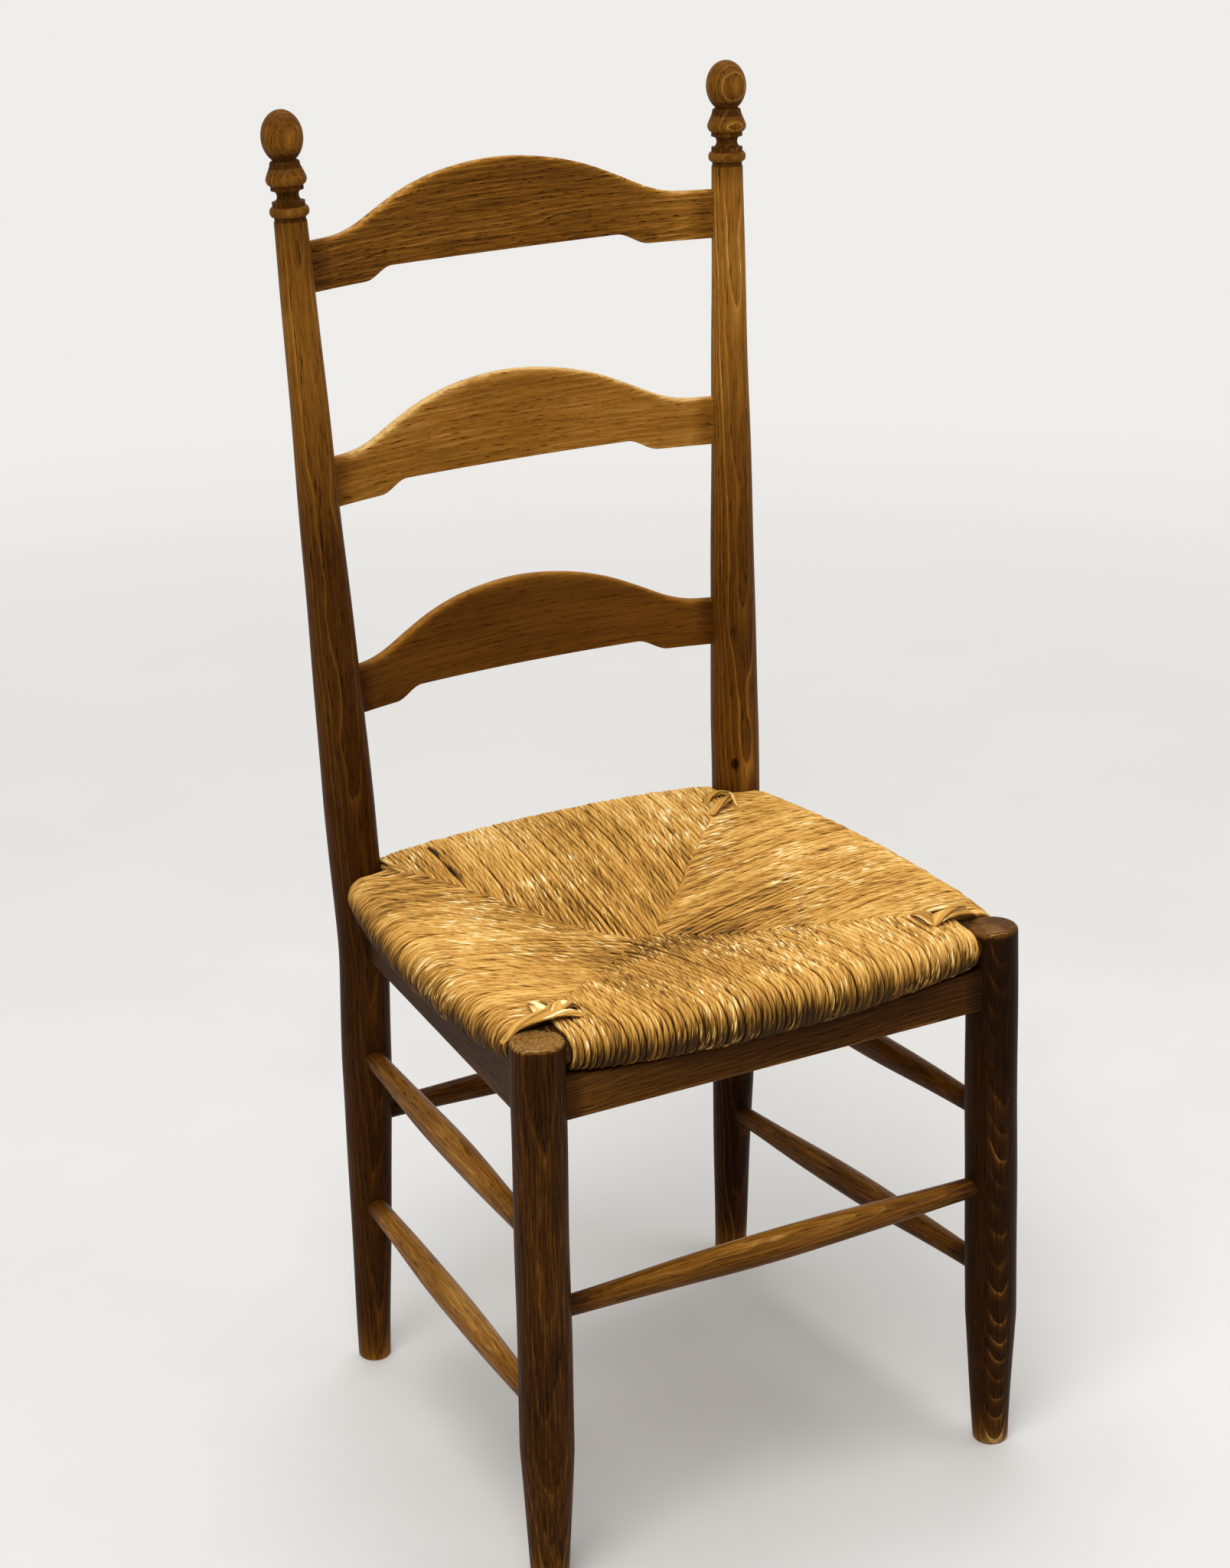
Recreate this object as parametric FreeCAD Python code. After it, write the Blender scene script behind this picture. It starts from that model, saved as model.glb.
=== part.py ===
import FreeCAD, Part
import os
from math import asin, cos, pi, sin, sqrt

# Ladderback chair with a woven rush seat, in millimetres.
# The floor is z = 0 and the chair faces -Y. Sizes are measured from the middle of the seat; the finished
# pieces are then moved along Y so that the origin lies under the middle of the whole chair.

# Centre lines of the four uprights: offset to each side of the middle plane, and y
front_foot_side, front_foot_y = 203.5, -183.0
front_top_side, front_top_y = 198.0, -175.5
rear_foot_side, rear_foot_y = 177.5, 192.0
rear_knee_side, rear_knee_y = 176.5, 175.5
rear_high_side, rear_high_y = 192.5, 212.0

# Heights on the uprights, and of the seat rails that join them
rail_z = 441.0
front_leg_top = rail_z + 14.0
rear_knee_z = 384.0
rear_high_z = 1000.0
chair_height = 1064.8

# Front legs
leg_radius = 20.65
leg_foot_radius = 14.4
leg_taper_z = 118.0
leg_top_round = 3.5

# Rear posts
post_radius = 20.5
post_foot_radius = 13.8
post_taper_low_z = 285.0
post_taper_high_z = 512.0
post_top_radius = 12.6

# Finial at the top of each rear post, from the top down
ball_radius = 16.1
ball_height = 40.8
ball_neck_radius = 9.0
ball_neck_length = 0.8
cup_height = 18.4
cup_lip_radius = 11.2
cup_waist_radius, cup_waist_height = 12.7, 10.6
cup_radius, cup_rim_height = 15.6, 5.0
finial_fillet_radius = 12.5
finial_fillet_height = 3.6
finial_cove_radius = 8.3
finial_cove_height = 8.7
bead_radius = 15.1
bead_height = 7.9
bead_seat_radius = 12.0

# Number of flats that each small turned curve is drawn with
turned_flats = 3

# Ladder slats
slat_bottoms = {"lower": 584.0, "middle": 754.5, "top": 924.0}
slat_thickness = 9.5
slat_end_height = 38.8
slat_crest_rise = 42.4
slat_crest_half_width = 154.0
slat_crest_shape = 1.5
slat_bend_radius = 520.0
slat_tenon_depth = 14.0
slat_step_outer_x = 127.0
slat_step_inner_x = 101.0
slat_step_height = 9.2
slat_belly = 1.4
slat_edge_bevel = 1.8

# Rungs: radii, and the height of each end
rung_end_radius = 8.3
rung_tenon_depth = 22.0
side_rung_radius = 11.6
front_rung_radius = 12.2
back_rung_radius = 11.4
front_rung_z = 233.0
back_rung_z = 234.0
side_rungs = {
    "left_upper_rung": (-1, 292.5, 290.5),
    "left_lower_rung": (-1, 151.5, 147.0),
    "right_upper_rung": (1, 290.0, 293.5),
    "right_lower_rung": (1, 145.0, 153.5),
}

# Seat rails, which the rush is woven round
rail_end_width = 18.0
rail_height = 19.0
rail_outer_bow = 13.0
rail_inner_bow = 3.0
rail_bevel = 6.0
rail_tenon_radius = 7.0
rail_tenon_depth = 12.0

# Apron boards: the outer face is measured outward from the line between two uprights
apron_thickness = 18.0
front_apron_face, side_apron_face, back_apron_face = 12.0, 4.5, 9.0
front_apron_bottom = rail_z - 50.0
back_apron_bottom = rail_z - 54.0
side_apron_rear_bottom, side_apron_front_bottom = rail_z - 54.0, rail_z - 60.0
apron_rush_gap = 1.2
apron_tenon_thickness = 9.0
apron_tenon_depth = 14.0
apron_tenon_shoulder = 6.0

# Rush seat: radius, outward offset and height of the roll at its ends and in the middle of each side
roll_end = (14.5, 2.0, rail_z + 2.0)
roll_middle = {
    "front": (20.0, 11.0, rail_z - 2.5),
    "back": (20.5, 9.0, rail_z + 2.0),
    "left": (20.0, 10.0, rail_z - 1.0),
    "right": (20.0, 10.0, rail_z),
}
seam_left_x, seam_right_x, seam_y = -22.0, -2.0, 0.0
seam_centre_z = rail_z - 13.0
seam_rise = 33.0
seam_rise_share = 0.9
seat_centre_thickness = 14.0
seat_corner_thickness = 35.0
seat_level_share = 0.3
soft_clearance = 0.3
seam_stations = (0.94, 0.84, 0.66, 0.36, 0.0)
strand_top_flats = 3
strand_roll_flats = 6

# Stuffing pad inside each quarter of the seat
cover_thickness = 7.0
pad_rail_gap = 3.0
pad_end_gap = 42.0
pad_seam_gap = 45.0
pad_seam_rise = 4.0
pad_thin_edge = 6.0

Vector = FreeCAD.Vector
up = Vector(0, 0, 1)
sides = {"left": -1, "right": 1}
below_floor = 6.0


def rz(radius, z):
    return Vector(radius, 0, z)


class CentreLine:
    """A straight centre line between two points."""

    def __init__(self, start, end):
        self.start = start
        self.end = end
        self.length = (end - start).Length
        self.direction = (end - start).normalize()

    def at(self, z):
        return self.start + (self.end - self.start) * ((z - self.start.z) / (self.end.z - self.start.z))


def front_line(side):
    top = Vector(side * front_top_side, front_top_y, front_leg_top)
    return CentreLine(Vector(side * front_foot_side, front_foot_y, 0), top)


def rear_low_line(side):
    knee = Vector(side * rear_knee_side, rear_knee_y, rear_knee_z)
    return CentreLine(Vector(side * rear_foot_side, rear_foot_y, 0), knee)


def rear_high_line(side):
    high = Vector(side * rear_high_side, rear_high_y, rear_high_z)
    return CentreLine(rear_low_line(side).end, high)


def front_point(side, z):
    return front_line(side).at(z)


def rear_point(side, z):
    line = rear_low_line(side) if z < rear_knee_z else rear_high_line(side)
    return line.at(z)


def post_radius_at(z):
    share = (z - post_taper_high_z) / (chair_height - post_taper_high_z)
    return post_radius - (post_radius - post_top_radius) * max(0.0, share)


def lying(start, end):
    """Placement with X from start to end, Y level and Z as upright as it can be."""
    x = (end - start).normalize()
    y = up.cross(x).normalize()
    return FreeCAD.Placement(start, FreeCAD.Rotation(x, y, x.cross(y), "XZY"))


def standing(line):
    """Placement with Z along a centre line."""
    return FreeCAD.Placement(line.start, FreeCAD.Rotation(up, line.direction))


def flats(curve, count):
    """A curve as a number of straight edges, which keeps small turned forms light."""
    points = curve.discretize(count + 1)
    return [Part.makeLine(a, b) for a, b in zip(points, points[1:])]


def chain(start, *steps):
    """Edges through the steps: a point ends a line, and a pair of points is the middle and end of an arc."""
    edges = []
    here = start
    for step in steps:
        if isinstance(step, tuple):
            edges += flats(Part.Arc(here, step[0], step[1]), turned_flats)
            here = step[1]
        else:
            edges.append(Part.makeLine(here, step))
            here = step
    return edges


def turned(edges, start, end, axis=up):
    """Solid of revolution about an axis through the origin, from a profile whose start and end lie on it."""
    return Part.Face(Part.Wire(edges + [Part.makeLine(end, start)])).revolve(Vector(0, 0, 0), axis, 360)


def half_space(point, direction):
    """Box that stands in for everything beyond a plane through the point."""
    size = 2 * chair_height
    box = Part.makeBox(size, size, size, Vector(-size / 2, -size / 2, 0))
    box.Placement = FreeCAD.Placement(point, FreeCAD.Rotation(up, direction))
    return box


def above_floor(shape):
    return shape.common(half_space(Vector(0, 0, 0), up))


def front_leg(side):
    line = front_line(side)
    taper = (leg_radius - leg_foot_radius) / leg_taper_z
    shoulder = leg_top_round * (1 - sqrt(0.5))
    start, end = rz(0, -below_floor), rz(0, line.length)
    profile = chain(
        start,
        rz(leg_foot_radius - taper * below_floor, -below_floor),
        rz(leg_radius, leg_taper_z),
        rz(leg_radius, line.length - leg_top_round),
        (rz(leg_radius - shoulder, line.length - shoulder), rz(leg_radius - leg_top_round, line.length)),
        end,
    )
    leg = turned(profile, start, end)
    leg.Placement = standing(line)
    return above_floor(leg)


def finial(top):
    """Profile of the turned finial from its seat on the shaft up to the top of the ball."""
    ball_half = ball_height / 2
    ball_z = top - ball_half
    neck_angle = asin(sqrt(1 - (ball_neck_radius / ball_radius) ** 2))
    neck_low = ball_z - ball_half * sin(neck_angle) - ball_neck_length
    cup_low = neck_low - cup_height
    cove_top = cup_low - finial_fillet_height
    cove_low = cove_top - finial_cove_height
    bead_top = cove_low - finial_fillet_height
    bead_low = bead_top - bead_height
    seat = bead_low - finial_fillet_height
    ball = Part.Ellipse(rz(0, top), rz(ball_radius, ball_z), rz(0, ball_z))
    ball_edges = flats(Part.ArcOfEllipse(ball, 0, pi / 2 + neck_angle), 2 * turned_flats)
    profile = chain(
        rz(post_top_radius, seat),
        rz(bead_seat_radius, bead_low),
        (rz(bead_radius, (bead_low + bead_top) / 2), rz(finial_fillet_radius, bead_top)),
        rz(finial_fillet_radius, cove_low),
        (rz(finial_cove_radius, (cove_low + cove_top) / 2), rz(finial_fillet_radius, cove_top)),
        rz(finial_fillet_radius, cup_low),
        rz(cup_radius, cup_low + cup_rim_height),
        (rz(cup_waist_radius, cup_low + cup_waist_height), rz(cup_lip_radius, neck_low)),
        rz(ball_neck_radius, neck_low),
        rz(ball_neck_radius, neck_low + ball_neck_length),
    )
    return seat, profile + ball_edges[::-1]


def rear_post(side):
    low, high = rear_low_line(side), rear_high_line(side)
    taper = (post_radius - post_foot_radius) / post_taper_low_z
    start, end = rz(0, -below_floor), rz(0, low.length + post_radius)
    lower_profile = chain(
        start,
        rz(post_foot_radius - taper * below_floor, -below_floor),
        rz(post_radius, post_taper_low_z),
        rz(post_radius, end.z),
        end,
    )
    lower = turned(lower_profile, start, end)
    lower.Placement = standing(low)
    top = (chair_height - rear_knee_z) / high.direction.z
    seat, finial_profile = finial(top)
    taper_start = (post_taper_high_z - rear_knee_z) / high.direction.z
    start = rz(0, -post_radius)
    shaft = chain(start, rz(post_radius, start.z), rz(post_radius, taper_start), rz(post_top_radius, seat))
    upper = turned(shaft + finial_profile, start, rz(0, top))
    upper.Placement = standing(high)
    above_mitre = half_space(high.start, low.direction + high.direction)
    return above_floor(lower.cut(above_mitre).fuse(upper.common(above_mitre)).removeSplitter())


def slat_crest_z(x):
    """Upper edge of a slat: level at the ends, rising in an S to the crest in the middle."""
    share = min(1.0, abs(x) / slat_crest_half_width) ** slat_crest_shape
    return slat_end_height + slat_crest_rise * (0.5 + 0.5 * cos(pi * share))


def smooth_edge(points):
    curve = Part.BSplineCurve()
    curve.interpolate(Points=points, InitialTangent=Vector(1, 0, 0), FinalTangent=Vector(1, 0, 0))
    return curve.toShape()


def slat_outline(half_length):
    """Front view of a slat, laid flat in the XZ plane."""
    step_middle = (slat_step_inner_x + slat_step_outer_x) / 2
    step_points = [(slat_step_outer_x, 0), (step_middle, slat_step_height / 2), (slat_step_inner_x, slat_step_height)]
    left_step = [Vector(-x, 0, z) for x, z in step_points]
    right_step = [Vector(x, 0, z) for x, z in reversed(step_points)]
    belly = Vector(0, 0, slat_step_height - slat_belly)
    stations = [half_length * i / 9 for i in range(-9, 10)]
    crest = [Vector(x, 0, slat_crest_z(x)) for x in stations]
    low_left, low_right = Vector(-half_length, 0, 0), Vector(half_length, 0, 0)
    edges = [
        Part.makeLine(low_left, left_step[0]),
        smooth_edge(left_step),
        Part.Arc(left_step[-1], belly, right_step[0]).toShape(),
        smooth_edge(right_step),
        Part.makeLine(right_step[-1], low_right),
        Part.makeLine(low_right, crest[-1]),
        smooth_edge(crest),
        Part.makeLine(crest[0], low_left),
    ]
    return Part.Face(Part.Wire(Part.__sortEdges__(edges)))


def eased_crest(slat):
    """Takes the sharpness off the two long edges of the slat's upper side."""
    upper = [e for e in slat.Edges if e.BoundBox.ZMax > slat_end_height + slat_crest_rise / 2]
    return slat.makeChamfer(slat_edge_bevel, [e for e in upper if e.BoundBox.XLength > slat_crest_half_width])


def slat(bottom):
    """Slat cut from a bent board: its middle lies behind its ends, which are tenons in the posts."""
    left, right = rear_point(-1, bottom), rear_point(1, bottom)
    grip_z = bottom + slat_end_height / 2
    half_length = rear_point(1, grip_z).x - post_radius_at(grip_z) + slat_tenon_depth
    depth = 2 * slat_bend_radius
    blank = slat_outline(half_length).extrude(Vector(0, depth, 0))
    centre = Vector(0, -sqrt(slat_bend_radius ** 2 - right.x ** 2), -slat_end_height)
    tall = 3 * (slat_end_height + slat_crest_rise)
    outer = Part.makeCylinder(slat_bend_radius + slat_thickness / 2, tall, centre)
    inner = Part.makeCylinder(slat_bend_radius - slat_thickness / 2, tall, centre)
    blank.translate(Vector(0, -slat_bend_radius / 2, 0))
    bent = eased_crest(blank.common(outer.cut(inner)).Solids[0])
    lean = rear_high_line(1).direction
    back_slope = FreeCAD.Rotation(up, Vector(0, lean.y, lean.z))
    bent.Placement = FreeCAD.Placement((left + right) * 0.5, back_slope)
    return bent


def rung(start, end, start_radius, end_radius, middle_radius):
    """Turned rung, fullest in its middle, whose ends go into the uprights; start and end lie on their centre lines."""
    length = (end - start).Length
    rise = Vector(0, rung_end_radius, 0)
    first, last = Vector(start_radius, 0, 0), Vector(length - end_radius, 0, 0)
    depth = Vector(rung_tenon_depth, 0, 0)
    near, far = first - depth, last + depth
    first, last = first + rise, last + rise
    swell = Part.Arc(first, Vector(length / 2, middle_radius, 0), last).toShape()
    edges = chain(near, near + rise, first) + [swell] + chain(last, far + rise, far)
    piece = turned(edges, near, far, Vector(1, 0, 0))
    piece.Placement = lying(start, end)
    return piece


class Upright:
    """A leg or post where the seat meets it: its centre point at any height, and its radius."""

    def __init__(self, point_at, side, radius):
        self.at = lambda z: point_at(side, z)
        self.radius = radius


class Side:
    """One side of the seat: the two uprights it joins, its outward direction, and the ends of the seat's
    middle ridge that its seams run to."""

    def __init__(self, name, first, last, outward, ridge):
        self.name = name
        self.first, self.last = first.at, last.at
        self.first_radius, self.last_radius = first.radius, last.radius
        self.outward = outward
        self.ridge = ridge

    def rail_ends(self):
        return self.first(rail_z), self.last(rail_z)

    def station(self, share):
        """Point on the rail's line, and 0 to 1 for how far it is from the ends, which is 1 in the middle."""
        start, end = self.rail_ends()
        length = (end - start).Length
        reach = max(self.first_radius, self.last_radius)
        s = min(1.0, abs(share - 0.5) * length / (length / 2 - reach))
        return start + (end - start) * share, 1 - s * s

    def roll(self, share):
        """Radius, outward offset and height of the centre of the roll of rush."""
        fullness = self.station(share)[1]
        middle = roll_middle[self.name]
        radius = roll_end[0] + (middle[0] - roll_end[0]) * sqrt(fullness)
        offset = roll_end[1] + (middle[1] - roll_end[1]) * fullness
        height = roll_end[2] + (middle[2] - roll_end[2]) * fullness
        return radius, offset, height


front_left, front_right = Upright(front_point, -1, leg_radius), Upright(front_point, 1, leg_radius)
back_left, back_right = Upright(rear_point, -1, post_radius), Upright(rear_point, 1, post_radius)
ridge_left, ridge_right = Vector(seam_left_x, seam_y, 0), Vector(seam_right_x, seam_y, 0)
seat_sides = [
    Side("front", front_left, front_right, Vector(0, -1, 0), (ridge_left, ridge_right)),
    Side("right", front_right, back_right, Vector(1, 0, 0), (ridge_right, ridge_right)),
    Side("back", back_right, back_left, Vector(0, 1, 0), (ridge_right, ridge_left)),
    Side("left", back_left, front_left, Vector(-1, 0, 0), (ridge_left, ridge_left)),
]


def rail(side, grow=0.0):
    """Seat rail: a bar wider in its middle, with bevelled edges and a round tenon at each end."""
    start, end = side.rail_ends()
    first = side.first_radius
    last = (end - start).Length - side.last_radius
    middle = (first + last) / 2
    half_end, half_height = rail_end_width / 2 + grow, rail_height / 2 + grow
    outer_y = -(rail_end_width / 2 + rail_outer_bow + grow)
    inner_y = rail_end_width / 2 + rail_inner_bow + grow
    outline = Part.Wire([
        Part.Arc(Vector(first, -half_end, 0), Vector(middle, outer_y, 0), Vector(last, -half_end, 0)).toShape(),
        Part.makeLine(Vector(last, -half_end, 0), Vector(last, half_end, 0)),
        Part.Arc(Vector(last, half_end, 0), Vector(middle, inner_y, 0), Vector(first, half_end, 0)).toShape(),
        Part.makeLine(Vector(first, half_end, 0), Vector(first, -half_end, 0)),
    ])
    bar = Part.Face(outline).extrude(up * (2 * half_height))
    bar.translate(up * -half_height)
    bar = bar.makeChamfer(rail_bevel, [edge for edge in bar.Edges if isinstance(edge.Curve, Part.Circle)])
    for x in (first - rail_tenon_depth, last):
        bar = bar.fuse(Part.makeCylinder(rail_tenon_radius + grow, rail_tenon_depth, Vector(x, 0, 0), Vector(1, 0, 0)))
    bar.Placement = lying(start, end)
    return bar


def seam_height(rise_from_centre):
    """Top of the seat along a seam, from 0 in the middle of the seat to 1 at a corner."""
    share = min(1.0, rise_from_centre / seam_rise_share)
    return seam_centre_z + seam_rise * (0.5 - 0.5 * cos(pi * share))


def seam_foot(side, share):
    """Point of the seam opposite a station on the rail, and how near it is to the corner, 0 to 1."""
    along = up.cross(side.outward)
    point, _ = side.station(share)
    for corner, apex in zip(side.rail_ends(), side.ridge):
        near_corner = (point - apex).dot(along) / (corner - apex).dot(along)
        if near_corner > 0:
            seam = apex + (corner - apex) * near_corner
            return Vector(seam.x, seam.y, 0), near_corner
    return apex + along * (point - apex).dot(along), 0.0


def strand_section(side, share):
    """Corners of the loop of one strand: over the top, round the roll, and back underneath to the seam."""
    point, _ = side.station(share)
    radius, offset, height = side.roll(share)
    seam, near_corner = seam_foot(side, share)
    point = Vector(point.x, point.y, 0)
    top_z = seam_height(near_corner)
    bottom_z = top_z - seat_centre_thickness - (seat_corner_thickness - seat_centre_thickness) * near_corner
    crown = point + side.outward * offset + up * (height + radius)
    face = point + side.outward * (offset + radius) + up * height
    under = point + side.outward * offset + up * (height - radius)
    seam_top, seam_bottom = seam + up * top_z, seam + up * bottom_z
    return crown, face, under, seam_bottom, seam_top


def strand_loop(crown, face, under, seam_bottom, seam_top):
    """Points of the loop: the top dips toward the seam, and the roll is half a circle."""
    level = crown + (seam_top - crown) * seat_level_share
    level.z = crown.z
    top = Part.BezierCurve()
    top.setPoles([seam_top, level, crown])
    roll = Part.Arc(crown, face, under)
    over, round_roll = top.discretize(strand_top_flats + 1), roll.discretize(strand_roll_flats + 1)
    return over[:-1] + round_roll + [seam_bottom]


def polygon(*points):
    return Part.Face(Part.makePolygon(list(points) + [points[0]]))


def skin(loops):
    """Solid of flat triangles between loops that have the same number of points."""
    faces = [polygon(*loops[0]), polygon(*loops[-1])]
    for here, there in zip(loops, loops[1:]):
        for i in range(len(here)):
            faces.append(polygon(here[i - 1], here[i], there[i]))
            faces.append(polygon(here[i - 1], there[i], there[i - 1]))
    return Part.makeSolid(Part.makeShell(faces))


def ridge_shares(side):
    """Where along the rail its strands meet the two ends of the middle ridge."""
    start, end = side.rail_ends()
    along = up.cross(side.outward)
    return [(apex - start).dot(along) / (end - start).dot(along) for apex in side.ridge]


def stations(side):
    """Shares of the rail's length at which the quarter is drawn; neighbours share their points on a seam."""
    first, last = ridge_shares(side)
    rising = {first * (1 - near_corner) for near_corner in seam_stations}
    falling = {last + (1 - last) * near_corner for near_corner in seam_stations}
    return sorted(rising | falling)


def seat_quarter(side):
    """The strands of rush that lie over one rail, as one solid between its seams."""
    return skin([strand_loop(*strand_section(side, share)) for share in stations(side)])


def pad(side):
    """Flat wedge of stuffing between the upper and lower strands of one quarter."""
    start, end = side.rail_ends()
    crown, _, under, _, _ = strand_section(side, pad_end_gap / (end - start).Length)
    mid_share = sum(ridge_shares(side)) / 2
    _, _, _, seam_bottom, seam_top = strand_section(side, mid_share)
    line_point, _ = side.station(mid_share)
    inward = side.outward * -1
    span = (seam_top - line_point).dot(inward)
    near, far = rail_end_width / 2 + rail_inner_bow + pad_rail_gap, span - pad_seam_gap
    middle = (seam_top.z + seam_bottom.z) / 2 + pad_seam_rise

    def section(at, narrowing):
        base = Vector(at.x, at.y, 0) - inward * at.dot(inward) + inward * line_point.dot(inward)
        heights = ((near, under.z + cover_thickness), (near, crown.z - cover_thickness),
                   (far, middle + pad_thin_edge / 2), (far, middle - pad_thin_edge / 2))
        return [base + inward * reach + narrowing * reach + up * z for reach, z in heights]

    slope_first = (side.ridge[0] - start) / span
    slope_last = (side.ridge[1] - end) / span
    along = (end - start).normalize()
    ends = [
        section(start + along * pad_end_gap, along * slope_first.dot(along)),
        section(end - along * pad_end_gap, along * slope_last.dot(along)),
    ]
    return skin(ends)


def apron(side, first_bottom, last_bottom, face):
    """Board under one side of the seat, hollowed on top for the roll of rush, with a tenon at each end."""
    start, end = side.first(first_bottom), side.last(last_bottom)
    length = (end - start).Length
    shoulder, far_shoulder = side.first_radius, length - side.last_radius
    end_top = roll_end[2] - roll_end[0] - apron_rush_gap
    middle = roll_middle[side.name]
    middle_top = middle[2] - middle[0] - apron_rush_gap
    slope = (last_bottom - first_bottom) / length

    def top_at(x, z):
        return Vector(x, 0, z - first_bottom - slope * x)

    board_edges = [
        Part.makeLine(Vector(0, 0, 0), Vector(length, 0, 0)),
        Part.makeLine(Vector(length, 0, 0), top_at(length, end_top)),
        Part.makeLine(top_at(length, end_top), top_at(far_shoulder, end_top)),
        Part.Arc(top_at(far_shoulder, end_top), top_at(length / 2, middle_top), top_at(shoulder, end_top)).toShape(),
        Part.makeLine(top_at(shoulder, end_top), top_at(0, end_top)),
        Part.makeLine(top_at(0, end_top), Vector(0, 0, 0)),
    ]
    inner_face = face - apron_thickness
    board = Part.Face(Part.Wire(board_edges)).extrude(Vector(0, -apron_thickness, 0))
    board.translate(Vector(0, -inner_face, 0))
    tenon_height = end_top - max(first_bottom, last_bottom) - 2 * apron_tenon_shoulder
    tenon_y = -(face - apron_thickness / 2) - apron_tenon_thickness / 2
    tenons = []
    for x in (shoulder - apron_tenon_depth, far_shoulder - apron_tenon_depth):
        corner = Vector(x, tenon_y, apron_tenon_shoulder)
        tenons.append(Part.makeBox(2 * apron_tenon_depth, apron_tenon_thickness, tenon_height, corner))
    place = lying(start, end)
    for piece in [board] + tenons:
        piece.Placement = place.multiply(piece.Placement)
    return board, tenons


def save(name, shape):
    if shape.ShapeType == "Compound" and len(shape.Solids) == 1:
        shape = shape.Solids[0]
    shape.exportStep(os.path.join("parts", name + ".step"))


def build():
    os.makedirs("parts", exist_ok=True)
    blanks = {}
    for name, side in sides.items():
        blanks[name + "_front_leg"] = front_leg(side)
        blanks[name + "_rear_post"] = rear_post(side)
    pieces = {name + "_slat": slat(bottom) for name, bottom in slat_bottoms.items()}

    left_front, right_front = front_point(-1, front_rung_z), front_point(1, front_rung_z)
    left_back, right_back = rear_point(-1, back_rung_z), rear_point(1, back_rung_z)
    pieces["front_rung"] = rung(left_front, right_front, leg_radius, leg_radius, front_rung_radius)
    pieces["back_rung"] = rung(left_back, right_back, post_radius, post_radius, back_rung_radius)
    for name, (side, rear_z, front_z) in side_rungs.items():
        start, end = rear_point(side, rear_z), front_point(side, front_z)
        pieces[name] = rung(start, end, post_radius, leg_radius, side_rung_radius)

    apron_sizes = {
        "front": (front_apron_bottom, front_apron_bottom, front_apron_face),
        "right": (side_apron_front_bottom, side_apron_rear_bottom, side_apron_face),
        "back": (back_apron_bottom, back_apron_bottom, back_apron_face),
        "left": (side_apron_rear_bottom, side_apron_front_bottom, side_apron_face),
    }
    uncut = list(blanks.values())
    quarters = []
    bores = []
    pads = []
    for side in seat_sides:
        board, tenons = apron(side, *apron_sizes[side.name])
        pieces[side.name + "_apron"] = board.cut(uncut).fuse(tenons).removeSplitter()
        pieces[side.name + "_seat_rail"] = rail(side)
        bores.append(rail(side, soft_clearance))
        quarters.append(seat_quarter(side))
        pads.append(pad(side))

    joined = list(pieces.values())
    for name, blank in blanks.items():
        pieces[name] = blank.cut(joined)

    clear = []
    for side in sides.values():
        clear.append(Part.makeCylinder(leg_radius + soft_clearance, chair_height, front_point(side, 0),
                                       front_line(side).direction))
        clear.append(Part.makeCylinder(post_radius + soft_clearance, chair_height, rear_high_line(side).start,
                                       rear_high_line(side).direction))
    seat = quarters[0].fuse(quarters[1:]).cut(clear + bores + pads)
    pieces["rush_seat"] = seat
    pieces["seat_stuffing"] = Part.makeCompound(pads)

    # The frame's origin lies on the floor under the middle of the whole chair
    whole = Part.makeCompound(list(pieces.values())).optimalBoundingBox(False)
    for name, shape in pieces.items():
        shape.translate(Vector(0, -whole.Center.y, 0))
        save(name, shape)
        print(name, len(shape.Solids), "solid", round(shape.Volume / 1000, 1), "cm3", "valid", shape.isValid())
    print("whole", whole)


build()
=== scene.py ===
import math

import bpy
import numpy as np
from mathutils import Matrix


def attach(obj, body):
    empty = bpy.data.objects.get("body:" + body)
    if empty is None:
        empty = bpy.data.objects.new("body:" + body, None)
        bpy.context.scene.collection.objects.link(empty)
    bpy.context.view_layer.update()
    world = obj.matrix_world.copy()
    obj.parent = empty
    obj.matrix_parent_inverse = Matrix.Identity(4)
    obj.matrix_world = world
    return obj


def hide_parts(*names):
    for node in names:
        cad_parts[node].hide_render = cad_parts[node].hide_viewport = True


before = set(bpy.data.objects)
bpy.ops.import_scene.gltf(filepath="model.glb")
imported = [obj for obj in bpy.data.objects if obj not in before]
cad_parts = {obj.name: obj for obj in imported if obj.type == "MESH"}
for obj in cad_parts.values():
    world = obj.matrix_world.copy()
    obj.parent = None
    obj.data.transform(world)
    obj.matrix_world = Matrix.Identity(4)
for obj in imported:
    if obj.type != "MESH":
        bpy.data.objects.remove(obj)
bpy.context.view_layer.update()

# Ladderback chair with a rush seat. Sizes are in millimetres, measured from the middle of the seat,
# and the chair faces -Y. placed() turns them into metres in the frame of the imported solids.
chance = np.random.default_rng(11)
seatMiddleY = 23.15  # how far the frame's origin lies behind the middle of the seat
ownGrain = 97.0  # mm of wood between one piece's grain and that of the next seed
up = np.array([0, 0, 1.0])


class Sizes(dict):
    # a dictionary whose entries also read as attributes
    __getattr__ = dict.__getitem__


def placed(points):
    return (np.asarray(points, float) - (0.0, seatMiddleY, 0.0)) * 0.001


# the uprights' centre lines, which every other piece is set out from
uprights = Sizes(
    frontFoot=(203.5, -183),  # side and y at the floor
    frontTop=(198, -175.5),
    frontHeight=455,
    rearFoot=(177.5, 192),
    rearKnee=(176.5, 175.5),
    kneeHeight=384,
    rearHigh=(192.5, 212),
    highHeight=1000,
    kneeSoftness=16,  # how gently the bend at the knee turns
)


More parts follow.
